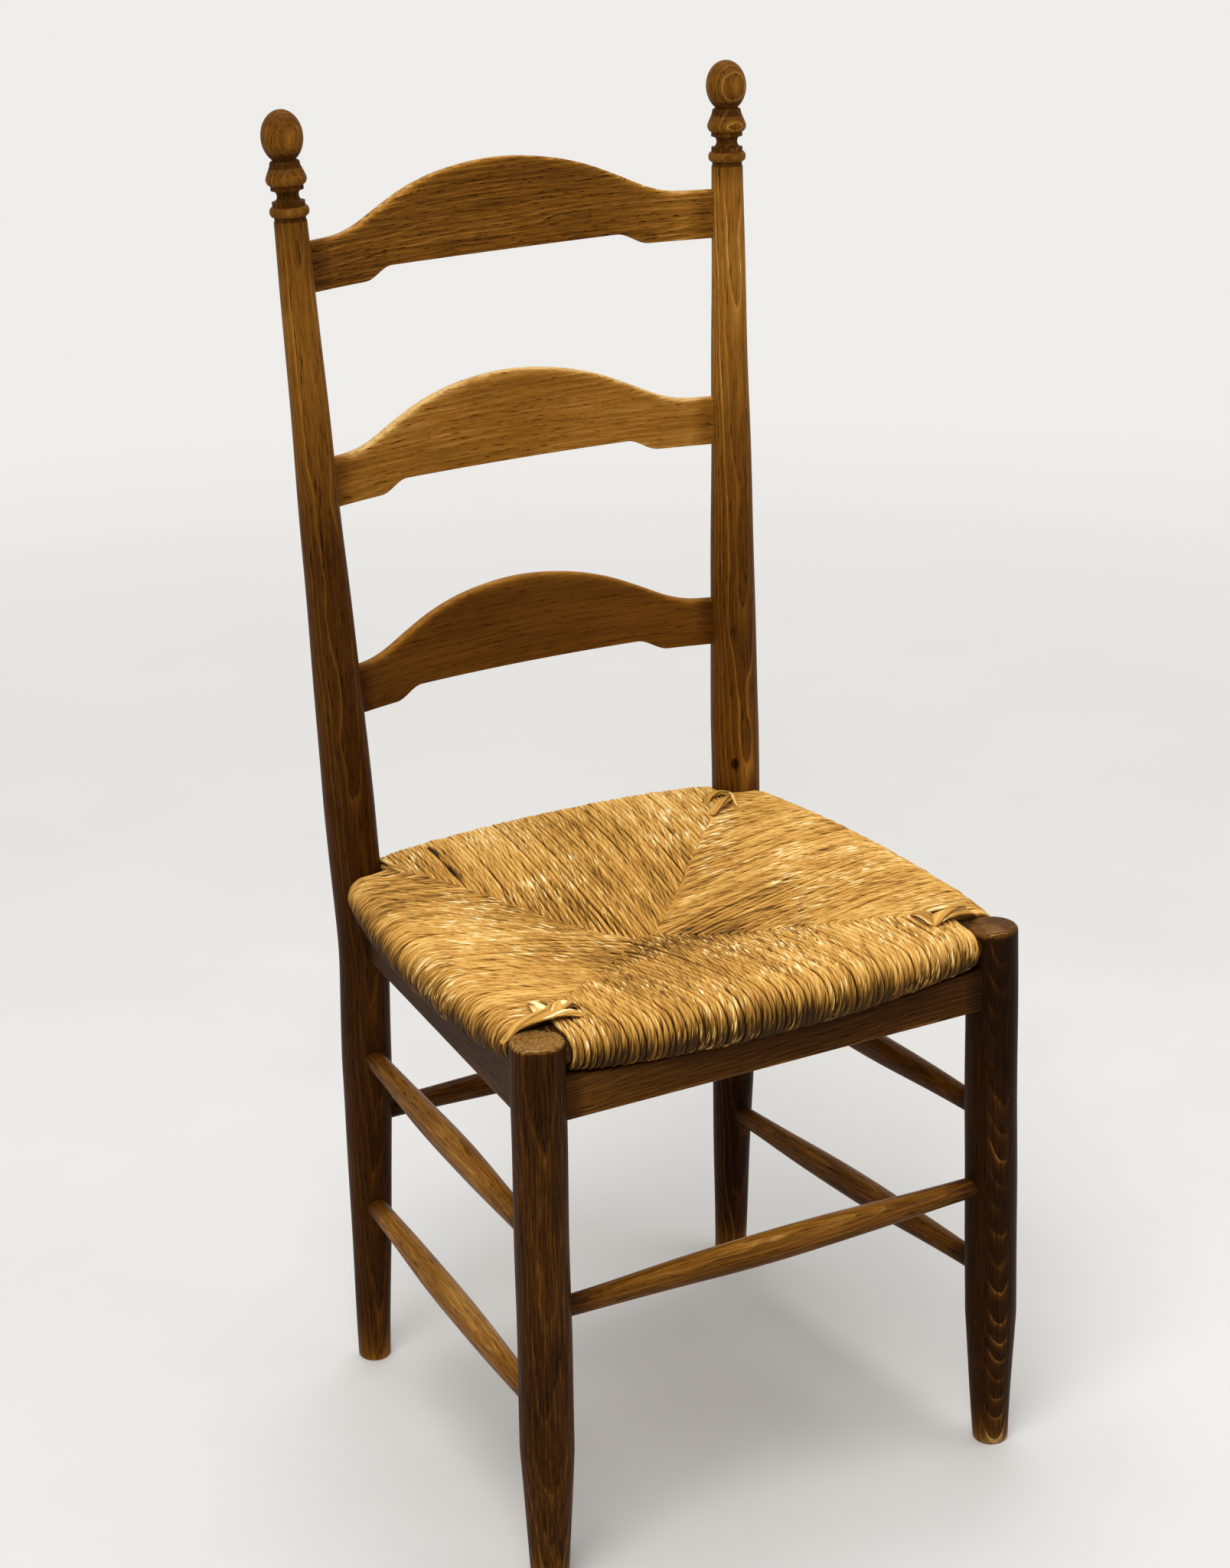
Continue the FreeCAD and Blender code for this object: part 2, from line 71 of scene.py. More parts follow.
def frontAxis(side, z):
    # straight line: foot plus height times slope
    foot, top = np.array(uprights.frontFoot), np.array(uprights.frontTop)
    z = np.asarray(z, float)
    across = foot + (top - foot) * (z / uprights.frontHeight)[..., None]
    return np.stack([side * across[..., 0], across[..., 1], z], -1)


def rearAxis(side, z):
    # two straight lines joined by a hyperbola, whose bend is softest at the knee
    foot, knee, high = (np.array(uprights[k]) for k in ("rearFoot", "rearKnee", "rearHigh"))
    z = np.asarray(z, float)
    lowSlope = (knee - foot) / uprights.kneeHeight
    highSlope = (high - knee) / (uprights.highHeight - uprights.kneeHeight)
    over = z - uprights.kneeHeight
    bent = 0.5 * (over + np.sqrt(over ** 2 + uprights.kneeSoftness ** 2))
    across = foot + lowSlope * z[..., None] + (highSlope - lowSlope) * bent[..., None]
    return np.stack([side * across[..., 0], across[..., 1], z], -1)


def unit(vectors):
    return vectors / np.linalg.norm(vectors, axis=-1, keepdims=True)


def distances(path):
    # how far each point lies along its path: the running sum of the steps
    steps = np.linalg.norm(np.diff(path, axis=-2), axis=-1)
    return np.concatenate([0 * steps[..., :1], np.cumsum(steps, -1)], -1)


def squareTo(path, reference):
    # direction along a path, and two directions square to it, the first as near the reference as it can be
    along = unit(np.gradient(path, axis=0))
    first = unit(reference - along * (along @ reference)[:, None])
    return along, first, np.cross(along, first)


def smoothed(values, times):
    # each value moves to the mean of itself and its neighbours
    for _ in range(times):
        values = np.concatenate([values[:1], (values[:-2] + 2 * values[1:-1] + values[2:]) / 4, values[-1:]])
    return values


class Value:
    # a number in a shader: arithmetic on it adds Math nodes
    def __init__(self, finish, socket):
        self.finish = finish
        self.socket = socket

    def maths(self, operation, *terms):
        return self.finish.node("Math", {"operation": operation}, dict(enumerate(terms)))

    __add__ = __radd__ = lambda self, other: self.maths("ADD", self, other)
    __mul__ = __rmul__ = lambda self, other: self.maths("MULTIPLY", self, other)
    __sub__ = lambda self, other: self.maths("SUBTRACT", self, other)
    __rsub__ = lambda self, other: self.maths("SUBTRACT", other, self)
    __truediv__ = lambda self, other: self.maths("DIVIDE", self, other)
    __pow__ = lambda self, other: self.maths("POWER", self, other)

    def clamped(self):
        return self.maths("MAXIMUM", self.maths("MINIMUM", self, 1.0), 0.0)

    def fraction(self):
        return self.maths("FRACT", self)

    def whole(self):
        return self.maths("FLOOR", self)

    def between(self, low, high):
        # 0 below low, 1 above high, smooth in the middle
        ranged = {"interpolation_type": "SMOOTHSTEP"}
        return self.finish.node("MapRange", ranged, {"Value": self, "From Min": low, "From Max": high})


class Finish:
    # the nodes of a material or of the world
    def __init__(self, owner):
        owner.use_nodes = True
        self.owner = owner
        self.tree = owner.node_tree

    def give(self, sockets, inputs):
        for key, given in inputs.items():
            if isinstance(given, Value):
                self.tree.links.new(given.socket, sockets[key])
            else:
                sockets[key].default_value = given

    def node(self, kind, settings, inputs, output=0):
        made = self.tree.nodes.new("ShaderNode" + kind)
        for key, given in settings.items():
            if key == "stops":
                ramp = made.color_ramp.elements
                ramp[0].position, ramp[1].position = given[0][0], given[-1][0]
                for at, _ in given[1:-1]:
                    ramp.new(at)
                for stop, (_, colour) in zip(ramp, given):
                    stop.color = (*colour, 1.0)
            else:
                setattr(made, key, given)
        self.give(made.inputs, inputs)
        return Value(self, made.outputs[output])

    def layer(self, name, output="Vector"):
        return self.node("Attribute", {"attribute_name": name}, {}, output)

    def place(self):
        return self.node("TexCoord", {}, {}, "Object")

    def parts(self, vector):
        return [self.node("SeparateXYZ", {}, {"Vector": vector}, axis) for axis in "XYZ"]

    def vector(self, x, y, z):
        return self.node("CombineXYZ", {}, {"X": x, "Y": y, "Z": z})

    def noise(self, vector, scale=1.0, detail=2.0, roughness=0.5):
        inputs = {"Vector": vector, "Scale": scale, "Detail": detail, "Roughness": roughness}
        return self.node("TexNoise", {}, inputs)

    def ramp(self, stops, share):
        return self.node("ValToRGB", {"stops": stops}, {"Fac": share})

    def seen(self):
        # 1 for what the camera sees, straight or through a shine, and 0 for rays that only carry light
        kinds = ("Camera", "Glossy", "Transmission")
        return sum(self.node("LightPath", {}, {}, f"Is {kind} Ray") for kind in kinds).clamped()

    def blend(self, share, first, second):
        both = self.node("MixShader", {}, {"Fac": share, 1: first, 2: second}, "Shader")
        output = next(node for node in self.tree.nodes if node.type.startswith("OUTPUT"))
        self.tree.links.new(both.socket, output.inputs["Surface"])

    def finished(self, colour, roughness, height, relief, **fixed):
        bump = self.node("Bump", {}, {"Height": height, "Strength": relief["strength"],
                                      "Distance": relief["depth"]})
        inputs = self.tree.nodes["Principled BSDF"].inputs
        self.give(inputs, {"Base Color": colour, "Roughness": roughness, "Normal": bump})
        self.give(inputs, {name.replace("_", " "): given for name, given in fixed.items()})
        return self.owner


def materialNodes(name):
    return Finish(bpy.data.materials.new(name))


def addAll(stage, add, pieces):
    print(stage)
    for name, s in pieces.items():
        add(name, s)


def addObject(name, data):
    made = bpy.data.objects.new(name, data)
    bpy.context.scene.collection.objects.link(made)
    return made


def shapeFrom(name, grid, layers):
    # closed tubes, each a grid of points whose columns run round it: tubes x rows x columns x 3.
    # Each end of a tube closes on a point in the middle of its last row
    count, rows, columns, _ = grid.shape
    ring = np.arange(count * rows * columns).reshape(count, rows, columns)
    near, far = ring[:, :-1], ring[:, 1:]
    walls = np.stack([near, np.roll(near, -1, 2), np.roll(far, -1, 2), far], -1).reshape(-1, 4)
    poles = ring.size + np.arange(2 * count).reshape(2, count, 1)
    first, last = ring[:, 0], ring[:, -1]
    caps = np.concatenate([
        np.stack([np.roll(first, -1, 1), first, poles[0] + 0 * first], -1).reshape(-1, 3),
        np.stack([last, np.roll(last, -1, 1), poles[1] + 0 * last], -1).reshape(-1, 3),
    ])

    def withPoles(values):
        flat = values.reshape(-1, values.shape[-1])
        return np.concatenate([flat, values[:, 0].mean(1), values[:, -1].mean(1)])

    points = withPoles(grid)
    a, b, c, d = (points[walls[:, i]] for i in range(4))
    inside = (np.cross(b - a, c - a) * a).sum() + (np.cross(c - a, d - a) * a).sum()
    if inside < 0:  # turns the faces outward
        walls, caps = walls[:, ::-1], caps[:, ::-1]
    mesh = bpy.data.meshes.new(name)
    mesh.from_pydata(placed(points), [], walls.tolist() + caps.tolist())
    mesh.shade_smooth()
    mesh.set_sharp_from_angle(angle=math.radians(48))
    for key, values in layers.items():
        wide = values.shape[-1] == 3
        layer = mesh.attributes.new(key, "FLOAT_VECTOR" if wide else "FLOAT", "POINT")
        layer.data.foreach_set("vector" if wide else "value", withPoles(values).astype(np.float32).ravel())
    return mesh


def addPiece(name, grid, layers, finish, nodes):
    if grid.ndim == 3:  # a single tube
        grid, layers = grid[None], {key: values[None] for key, values in layers.items()}
    piece = addObject(name, shapeFrom(name, grid, layers))
    piece.data.materials.append(finish)
    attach(piece, "root")
    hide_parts(*nodes)
    return piece


# dark to pale: stained and waxed wood, and the same wood where hands and feet have rubbed it
darkStain = [(0.0, (0.004, 0.0012, 0.0003)), (0.3, (0.021, 0.0068, 0.0011)), (0.5, (0.05, 0.017, 0.002)),
             (0.68, (0.12, 0.046, 0.006)), (0.85, (0.27, 0.13, 0.028)), (1.0, (0.46, 0.27, 0.1))]
warmStain = [(0.0, (0.012, 0.0035, 0.0005)), (0.25, (0.052, 0.0165, 0.0015)), (0.5, (0.145, 0.054, 0.0055)),
             (0.72, (0.29, 0.118, 0.014)), (0.88, (0.45, 0.22, 0.045)), (1.0, (0.66, 0.42, 0.15))]

woodBase = dict(
    stops=warmStain, roughness=0.42, coat=0.0, gloss=0.03,
    relief=dict(strength=0.35, depth=0.0004),
    cloud=0.3, fibre=0.3, coarse=0.25, pores=0.3,  # how much each one changes the tone
    wander=7.0,  # how far the rings stray, in mm
    poreStretch=0.05, poreFrom=0.57,
    worn=0.4, grime=0.3, wearBreak=0.9,  # wearBreak makes the rubbed edges patchy
    fade=0.0,  # how much of the rings' figure goes outside its patches
    knot=(0.0, 0.0, -100),  # place in the grain, here outside every piece
)

# noise in the wood: scale across and along the grain, detail, roughness
grainNoise = {
    "cloud": (0.02, 0.006, 3.0, 0.5), "wander": (0.05, 0.011, 2.0, 0.5), "fibre": (1.9, 0.04, 3.0, 0.7),
    "coarse": (0.55, 0.013, 2.0, 0.55), "patch": (0.06, 0.02, 4.0, 0.7),
}
# where a fading figure stays: patches of cloud, down a strip of the face to the front and left
figure = Sizes(facing=(0.96, 0.28), strip=(9.0, 120), patches=(0.38, 0.54))


def woodFinish(name, **changes):
    # rings are cylinders round a leaning pith: age is the distance from it over a ring's width. Pores and
    # fibres are noise drawn out along the grain, and all add up to a tone on the stain's ramp
    look = Sizes(woodBase, **changes)
    f = materialNodes(name)
    x, y, z = f.parts(f.layer("grain"))
    wear = f.layer("wear", "Fac")

    def drawnOut(across, along, detail, roughness):
        return f.noise(f.vector(x * across, y * across, z * along), 1.0, detail, roughness)

    cloud, wander, fibre, coarse, patch = (drawnOut(*scales) for scales in grainNoise.values())
    pore = drawnOut(0.95, look.poreStretch, 2.0, 0.6)
    pithX, pithY = look.pith
    leanX, leanY = look.pithLean
    fromPithX, fromPithY = x - pithX - z * leanX, y - pithY - z * leanY
    fromPith = (fromPithX * fromPithX + fromPithY * fromPithY) ** 0.5
    age = (fromPith + (wander - 0.5) * look.wander) / look.ringWidth
    band = age.fraction()
    year = f.node("TexWhiteNoise", {"noise_dimensions": "1D"}, {"W": age.whole()}, "Value")
    late = band ** 4.0 * (1.0 - band.between(0.93, 1.0)) * (0.35 + 0.65 * year)
    facing = x * figure.facing[0] - y * figure.facing[1]
    shown = (1.0 - (facing * facing).between(*figure.strip)) * cloud.between(*figure.patches)
    late = late * (1.0 - (1.0 - shown) * look.fade)
    early = 1.0 - band.between(0.15, 0.55)
    pores = pore.between(look.poreFrom, look.poreFrom + 0.1) * (0.35 + 0.65 * early)
    worn = (wear + (patch - 0.5) * look.wearBreak).clamped() * wear.between(0.0, 0.15)
    # negative wear is grime, and also painted shade such as that under the roll of rush; it darkens the tone
    soiledAndShaded = 0.0 - wear
    grime = (soiledAndShaded + (patch - 0.5) * 0.5).clamped() * soiledAndShaded.between(0.0, 0.15)
    knotX, knotY, knotZ = look.knot
    fromKnot = ((x - knotX) ** 2.0 + (y - knotY) ** 2.0 + ((z - knotZ) * 0.7) ** 2.0) ** 0.5
    knot = 1.0 - fromKnot.between(2.0, 4.5)
    tone = (look.tone + f.layer("stain", "Fac") - knot * 0.4 + (cloud - 0.5) * look.cloud
            + (fibre - 0.5) * look.fibre + (coarse - 0.5) * look.coarse + late * look.late
            - pores * look.pores + worn * look.worn - grime * look.grime)
    roughness = look.roughness + pores * 0.18 + (fibre - 0.5) * 0.12 - worn * 0.1 + grime * 0.12
    height = fibre * 0.35 - pores - late * 0.25
    return f.finished(f.ramp(look.stops, tone.clamped()), roughness, height, look.relief,
                      Coat_Weight=look.coat, Coat_Roughness=0.3, Specular_IOR_Level=look.gloss)


def grainLayer(across, over, along, seed):
    # where each point lies in the wood: two distances across the grain and one along it
    return np.stack(np.broadcast_arrays(across, over, along + seed * ownGrain), -1)


def addWood(name, grid, grain, wear, stain, look):
    # wear and stain, which also carry painted shade, have a value for each point, or one for each row
    wear, stain = (np.broadcast_to(values, grid.shape[:2])[..., None] for values in (wear, stain))
    layers = {"grain": grain, "wear": wear, "stain": stain}
    addPiece(name, grid, layers, woodFinish(name, **look), [name])


turning = Sizes(
    sides=56,
    wobble=0.16,  # how far the hand-turned surface strays from round
    waves=((2, 61), (3, -37), (1, 23)),  # lobes round the piece, and the length over which they drift
    calmRadius=10,  # below this radius the wobble shrinks
)


def turned(path, radius, reference, seed):
    # point = centre + radius * (cos a * first + sin a * second), with a slow wobble of the radius
    angle = np.linspace(0, 2 * np.pi, turning.sides, endpoint=False)
    _, first, second = squareTo(path, reference)
    length = distances(path)[:, None]
    own = np.random.default_rng(seed).uniform(0, 2 * np.pi, 3)
    stray = sum(np.sin(lobes * angle + length / wave + start)
                for (lobes, wave), start in zip(turning.waves, own))
    stray = stray * turning.wobble * np.minimum(1, radius / turning.calmRadius)[:, None]
    reach = radius[:, None] + stray
    spread = np.cos(angle)[None, :, None] * first[:, None] + np.sin(angle)[None, :, None] * second[:, None]
    grid = path[:, None] + reach[..., None] * spread
    return grid, grainLayer(reach * np.cos(angle), reach * np.sin(angle), length, seed), angle


def addUpright(name, axis, profile, wear, s):
    # a profile of heights and radii turned round the upright's centre line, and cut level by the floor
    z, radius = profile.T
    grid, grain, _ = turned(axis(s.side, z), radius, np.array([1.0, 0, 0]), s.seed)
    grid[..., 2] = np.maximum(grid[..., 2], 0.0)
    addWood(name, grid, grain, wear[:, None], np.interp(z, *s.stain)[:, None], s.look)


leg = Sizes(
    radius=20.65, foot=14.4, footRound=1.4,
    taper=118,  # height at which the foot's taper ends
    topRound=3.8, topRings=[13, 9.0, 5.0, 1.2], topCrown=0.25,
    rowStep=6.0,
    footWear=(0.9, 14),  # amount, and the height over which it fades
    rimWear=(0.9, -1.4, 1.8),  # amount, place below the top and reach
    topWear=0.55,
)


def legProfile():
    # rounded foot, straight taper, cylinder, quarter circle at the rim, and a faintly domed top
    high = uprights.frontHeight
    foot = np.array([[0.0, leg.foot - leg.footRound], [0.5, leg.foot - 0.4], [leg.footRound, leg.foot]])
    rows = np.arange(leg.rowStep, high - leg.topRound, leg.rowStep)
    shaft = np.stack([rows, np.interp(rows, [0, leg.taper], [leg.foot, leg.radius])], -1)
    turn = np.linspace(0, np.pi / 2, 7)
    edge = np.stack([high - leg.topRound * (1 - np.sin(turn)),
                     leg.radius - leg.topRound * (1 - np.cos(turn))], -1)
    rings = np.array(leg.topRings)
    disc = np.stack([high + leg.topCrown * (1 - (rings / leg.radius) ** 2), rings], -1)
    return np.concatenate([foot, shaft, edge, disc])


def addLeg(name, s):
    # wear is a falling exponential above the floor plus a bell at the rim and an even rub on the top
    profile = legProfile()
    z = profile[:, 0]
    top = z - uprights.frontHeight
    amount, at, reach = leg.rimWear
    wear = np.exp(-z / leg.footWear[1]) * leg.footWear[0] + np.exp(-((top - at) / reach) ** 2) * amount
    wear += leg.topWear * (top > -0.6)
    addUpright(name, frontAxis, profile, wear, s)


# a stain is a list of heights and a list of what is added to the tone there; the rear posts' dip from above
# the floor up to the seat is painted shade under the seat
legs = {
    "left_front_leg": Sizes(
        side=-1, seed=3, stain=([0, 30, 120, 300, 440], [0.12, 0.02, 0.0, 0.0, -0.05]),
        look=dict(pith=(14, 42), pithLean=(0.006, 0.03), ringWidth=3.4, tone=0.45, late=0.3,
                  fibre=0.85, coarse=0.5, pores=0.4, cloud=0.4, stops=darkStain)),
    "right_front_leg": Sizes(
        side=1, seed=9, stain=([0, 30, 120, 300, 400, 450], [0.16, 0.05, 0.0, 0.03, -0.1, -0.06]),
        look=dict(pith=(30, -60), pithLean=(-0.008, 0.16), wander=4.0, ringWidth=3.8, tone=0.29, late=0.75,
                  fade=1.0, fibre=0.7, coarse=0.4, cloud=0.35, stops=darkStain)),
}

post = Sizes(
    foot=13.8, footRound=1.4, radius=20.5, top=12.6,
    taperLow=285, taperHigh=512,  # the full radius runs between these heights
    firstRow=6.0, rowStep=7.0,
    footWear=(0.8, 12),
)
finial = Sizes(
    ballRadius=16.1, ballHeight=40.8, neckRadius=9.0, neckLength=0.8,
    cupHeight=18.4, cupRadius=15.6, cupRim=5.0, cupLip=11.2, lipHeight=3.2,
    cupCurve=(1.25, 1.2), lipRound=(1.2, 1.6),
    filletRadius=12.5, filletHeight=3.6, coveRadius=8.3, coveHeight=8.7, covePower=0.8,
    beadRadius=15.1, beadHeight=7.9, seatRadius=12, top=1064.8,
    step=0.1,  # how far the ends of a fillet keep from its neighbours' rows
)


def postProfile():
    # tapered shaft, then from below: fillet, half-round bead, fillet, cove, fillet, cup with an S curve and
    # a lip, neck, and a ball that is an ellipse
    n = finial
    fillet, step = n.filletRadius, n.step
    ballMiddle = n.top - n.ballHeight / 2
    neckAngle = math.acos(n.neckRadius / n.ballRadius)
    neckLow = ballMiddle - n.ballHeight / 2 * math.sin(neckAngle) - n.neckLength
    cupLow = neckLow - n.cupHeight
    coveHigh = cupLow - n.filletHeight
    coveLow = coveHigh - n.coveHeight
    beadHigh = coveLow - n.filletHeight
    beadLow = beadHigh - n.beadHeight
    seat = beadLow - n.filletHeight
    foot = np.array([[0.0, post.foot - post.footRound], [post.footRound, post.foot]])
    rows = np.arange(post.firstRow, seat - 1.0, post.rowStep)
    shaft = np.stack([rows, np.interp(rows, [0, post.taperLow, post.taperHigh, seat],
                                      [post.foot, post.radius, post.radius, post.top])], -1)
    full, quarter = np.linspace(-np.pi / 2, np.pi / 2, 13), np.linspace(0, np.pi / 2, 8)
    bead = np.stack([(beadLow + beadHigh) / 2 + n.beadHeight / 2 * np.sin(full),
                     fillet + (n.beadRadius - fillet) * np.cos(full)], -1)
    cove = np.stack([(coveLow + coveHigh) / 2 + n.coveHeight / 2 * np.sin(full),
                     fillet - (fillet - n.coveRadius) * np.cos(full) ** n.covePower], -1)
    cupIn = np.stack([cupLow + n.cupRim * (1 - np.cos(quarter)),
                      fillet + (n.cupRadius - fillet) * np.sin(quarter)], -1)
    flare = np.linspace(0, 1, 12)  # from the rim an S curve narrows to the upright lip
    waist = n.cupHeight - n.cupRim - n.lipHeight
    lipIn, lipBulge = n.lipRound
    lipOut = n.cupLip + lipBulge - lipIn
    bend, fall = n.cupCurve
    cupOut = np.stack([cupLow + n.cupRim + waist * flare,
                       lipOut + (n.cupRadius - lipOut) * (1 - flare ** bend) ** fall], -1)
    lip = np.stack([neckLow - n.lipHeight * (1 - np.sin(quarter[1:])),
                    n.cupLip - lipIn + lipBulge * np.cos(quarter[1:])], -1)
    around = np.linspace(-neckAngle, np.pi / 2 - 0.03, 26)
    ball = np.stack([ballMiddle + n.ballHeight / 2 * np.sin(around), n.ballRadius * np.cos(around)], -1)
    seatFillet = [[seat, post.top], [seat + 3 * step, n.seatRadius], [beadLow - step, n.seatRadius]]
    lowFillet = [[beadHigh + step, fillet], [coveLow - step, fillet]]
    highFillet = [[coveHigh + step, fillet], [cupLow - step, fillet]]
    neck = [[neckLow + step, n.neckRadius], [neckLow + n.neckLength - step, n.neckRadius]]
    return np.concatenate([foot, shaft, seatFillet, bead, lowFillet, cove, highFillet, cupIn, cupOut[1:],
                           lip, neck, ball]), seat


def addPost(name, s):
    # the finial's rims are rubbed and its hollows soiled, by radius; the foot wears as the legs' do
    profile, seat = postProfile()
    z, radius = profile.T
    rims = np.clip((radius - 13.5) / 2.4, 0, 1) * (z > seat) * 0.25
    grime = -0.55 * (z > seat) * (z < finial.top - 30) * (radius < 12.6)
    wear = np.exp(-z / post.footWear[1]) * post.footWear[0] + rims + grime
    addUpright(name, rearAxis, profile, wear, s)


posts = {
    "left_rear_post": Sizes(
        side=-1, seed=17,
        # painted shade: darker from above the floor up to the seat, which shades the post
        stain=([0, 60, 400, 560, 720, 780, 900, 985], [0.02, -0.14, -0.17, -0.04, -0.03, 0.12, 0.28, 0.07]),
        look=dict(pith=(-18, 46), pithLean=(0.012, 0.022), ringWidth=3.0, tone=0.32, late=0.3,
                  fibre=0.44, pores=0.42)),
    "right_rear_post": Sizes(
        side=1, seed=23,
        # painted shade: darker from above the floor up to the seat, which shades the post
        stain=([0, 60, 400, 470, 600, 760, 900, 965, 985],
               [0.0, -0.34, -0.42, 0.0, -0.03, 0.06, 0.32, 0.24, 0.03]),
        look=dict(pith=(3, 50), pithLean=(0.002, 0.034), ringWidth=3.2, tone=0.4, late=0.46,
                  fibre=0.42, pores=0.42, knot=(-10.4, -17.7, 2713))),
}

addAll("legs", addLeg, legs)
addAll("posts", addPost, posts)

rungShape = Sizes(
    rows=60, inset=10,  # inset is from the upright's axis
    endRadius=8.3, swell=1.6,
    endGrime=(0.75, 0.8, 0.12),  # amount, share of the half length where it starts, and its reach
    rubShape=0.8, rubTurn=0.35,  # how far round from the top the rubbing goes
)
rungLook = dict(pith=(9, 15), pithLean=(0.02, 0.012), ringWidth=2.6, late=0.3, poreStretch=0.04,
                roughness=0.34, coat=0.05, pores=0.45, fibre=0.6, coarse=0.45)
rungs = {
    "front_rung": Sizes(
        start=frontAxis(-1, 233), end=frontAxis(1, 233), middle=12.2, rubbed=0.75, tone=0.38, seed=31),
    "back_rung": Sizes(
        start=rearAxis(-1, 234), end=rearAxis(1, 234), middle=11.4, rubbed=0.3, tone=0.28, seed=37),
    "left_upper_rung": Sizes(
        start=rearAxis(-1, 292.5), end=frontAxis(-1, 290.5), middle=11.6, rubbed=0.7, tone=0.45, seed=41),
    "left_lower_rung": Sizes(
        start=rearAxis(-1, 151.5), end=frontAxis(-1, 147), middle=11.6, rubbed=0.8, tone=0.48, seed=43),
    "right_upper_rung": Sizes(
        start=rearAxis(1, 290), end=frontAxis(1, 293.5), middle=11.6, rubbed=0.4, tone=0.3, seed=47),
    "right_lower_rung": Sizes(
        start=rearAxis(1, 145), end=frontAxis(1, 153.5), middle=11.6, rubbed=0.45, tone=0.33, seed=53),
}


def addRung(name, s):
    # radius swells from the ends to the middle as a power of the cosine, and so does the rubbing on top
    g = rungShape
    whole = s.end - s.start
    inset = g.inset / np.linalg.norm(whole)
    path = s.start + whole * np.linspace(inset, 1 - inset, g.rows)[:, None]
    share = np.linspace(-1, 1, g.rows)
    hump = np.cos(share * np.pi / 2)
    radius = g.endRadius + (s.middle - g.endRadius) * hump ** g.swell
    grid, grain, angle = turned(path, radius, up, s.seed)
    amount, start, reach = g.endGrime
    ends = -amount * np.clip((np.abs(share) - start) / reach, 0, 1)
    top = np.clip(np.cos(angle) + g.rubTurn, 0, 1 + g.rubTurn) / (1 + g.rubTurn)
    wear = (s.rubbed * hump ** g.rubShape)[:, None] * top + ends[:, None]
    addWood(name, grid, grain, wear, 0.0, dict(rungLook, tone=s.tone))


addAll("rungs", addRung, rungs)


def roundedSection(depth, low, high, lowRound, highRound):
    # four corner arcs, with points on the two broad faces near the edges and in their middle
    quarter = np.linspace(0, np.pi / 2, 6)
    half = depth / 2 + 0 * low
    arcs = []
    for turn, side, height, radius in ((0, 1, high, highRound), (1, -1, high, highRound),
                                       (2, -1, low, lowRound), (3, 1, low, lowRound)):
        inward = -radius if turn < 2 else radius
        a = quarter + turn * np.pi / 2
        arcs.append(np.stack([(side * (half - radius))[:, None] + radius * np.cos(a),
                              (height + inward)[:, None] + radius * np.sin(a)], -1))
    near, far = 1.5, 6.0  # from the ends of the arcs
    falling = [high - highRound - near, high - highRound - far, (low + high) / 2,
               low + lowRound + far, low + lowRound + near]

    def face(side, heights):
        return np.stack([np.repeat((side * half)[:, None], len(heights), 1), np.stack(heights, -1)], -1)

    return np.concatenate([arcs[0], arcs[1], face(-1, falling), arcs[2], arcs[3], face(1, falling[::-1])], 1)


def edgeWear(section, low, high, top, bottom):
    # 1 on the arris and less with the distance from it
    height = section[..., 1]
    return top * np.exp(-(high[:, None] - height) / 2.6) + bottom * np.exp(-(height - low[:, None]) / 1.6)


def endGrime(fromMiddle, half, amount, reach):
    # dirt that rises from 0 to the full amount beside the uprights, whose axes lie at half
    return amount * np.clip((fromMiddle - half + 34) / reach, 0, 1)[:, None]


slatShape = Sizes(
    thickness=9.5, endHeight=38.8, bend=520, endInset=8.0,
    step=9.2, belly=1.4, stepFrom=127, stepTo=101,
    crestAt=[0, 20, 40, 60, 80, 90, 100, 110, 120, 130, 140, 150, 190],
    crest=[81.3, 80.2, 77.7, 73.6, 67.4, 63.3, 58.6, 54, 48.8, 44.2, 41.1, 39.3, 38.8],
    crestRound=3.0, lowRound=1.3,
    leanFrom=500, leanTo=1000,  # the slats lean as the posts do between these heights
    rows=150,
)
slatLook = dict(pithLean=(0.02, 0.05), ringWidth=4.6, poreStretch=0.11, wander=16,
                relief=dict(strength=0.5, depth=0.0005))
slats = {  # their stains are evenly spaced from the left end to the right
    "lower_slat": Sizes(
        bottom=584, seed=61, stain=[-0.06, -0.03, 0.0, 0.02, -0.02],
        look=dict(tone=0.41, late=0.1, cloud=0.3, pores=0.2, fibre=0.36, coarse=0.3, pith=(-60, 210))),
    "middle_slat": Sizes(
        bottom=754.5, seed=67, stain=[0.0, 0.0, -0.01, 0.02, 0.09],
        look=dict(tone=0.68, late=0.14, cloud=0.35, pores=0.4, fibre=0.5, coarse=0.4, pith=(-120, 160))),
    "top_slat": Sizes(
        bottom=924, seed=71, stain=[0.0, -0.02, -0.06, -0.02, 0.08],
        look=dict(tone=0.5, late=0.3, cloud=0.35, pores=0.5, fibre=0.7, coarse=0.65, pith=(-90, 180))),
}


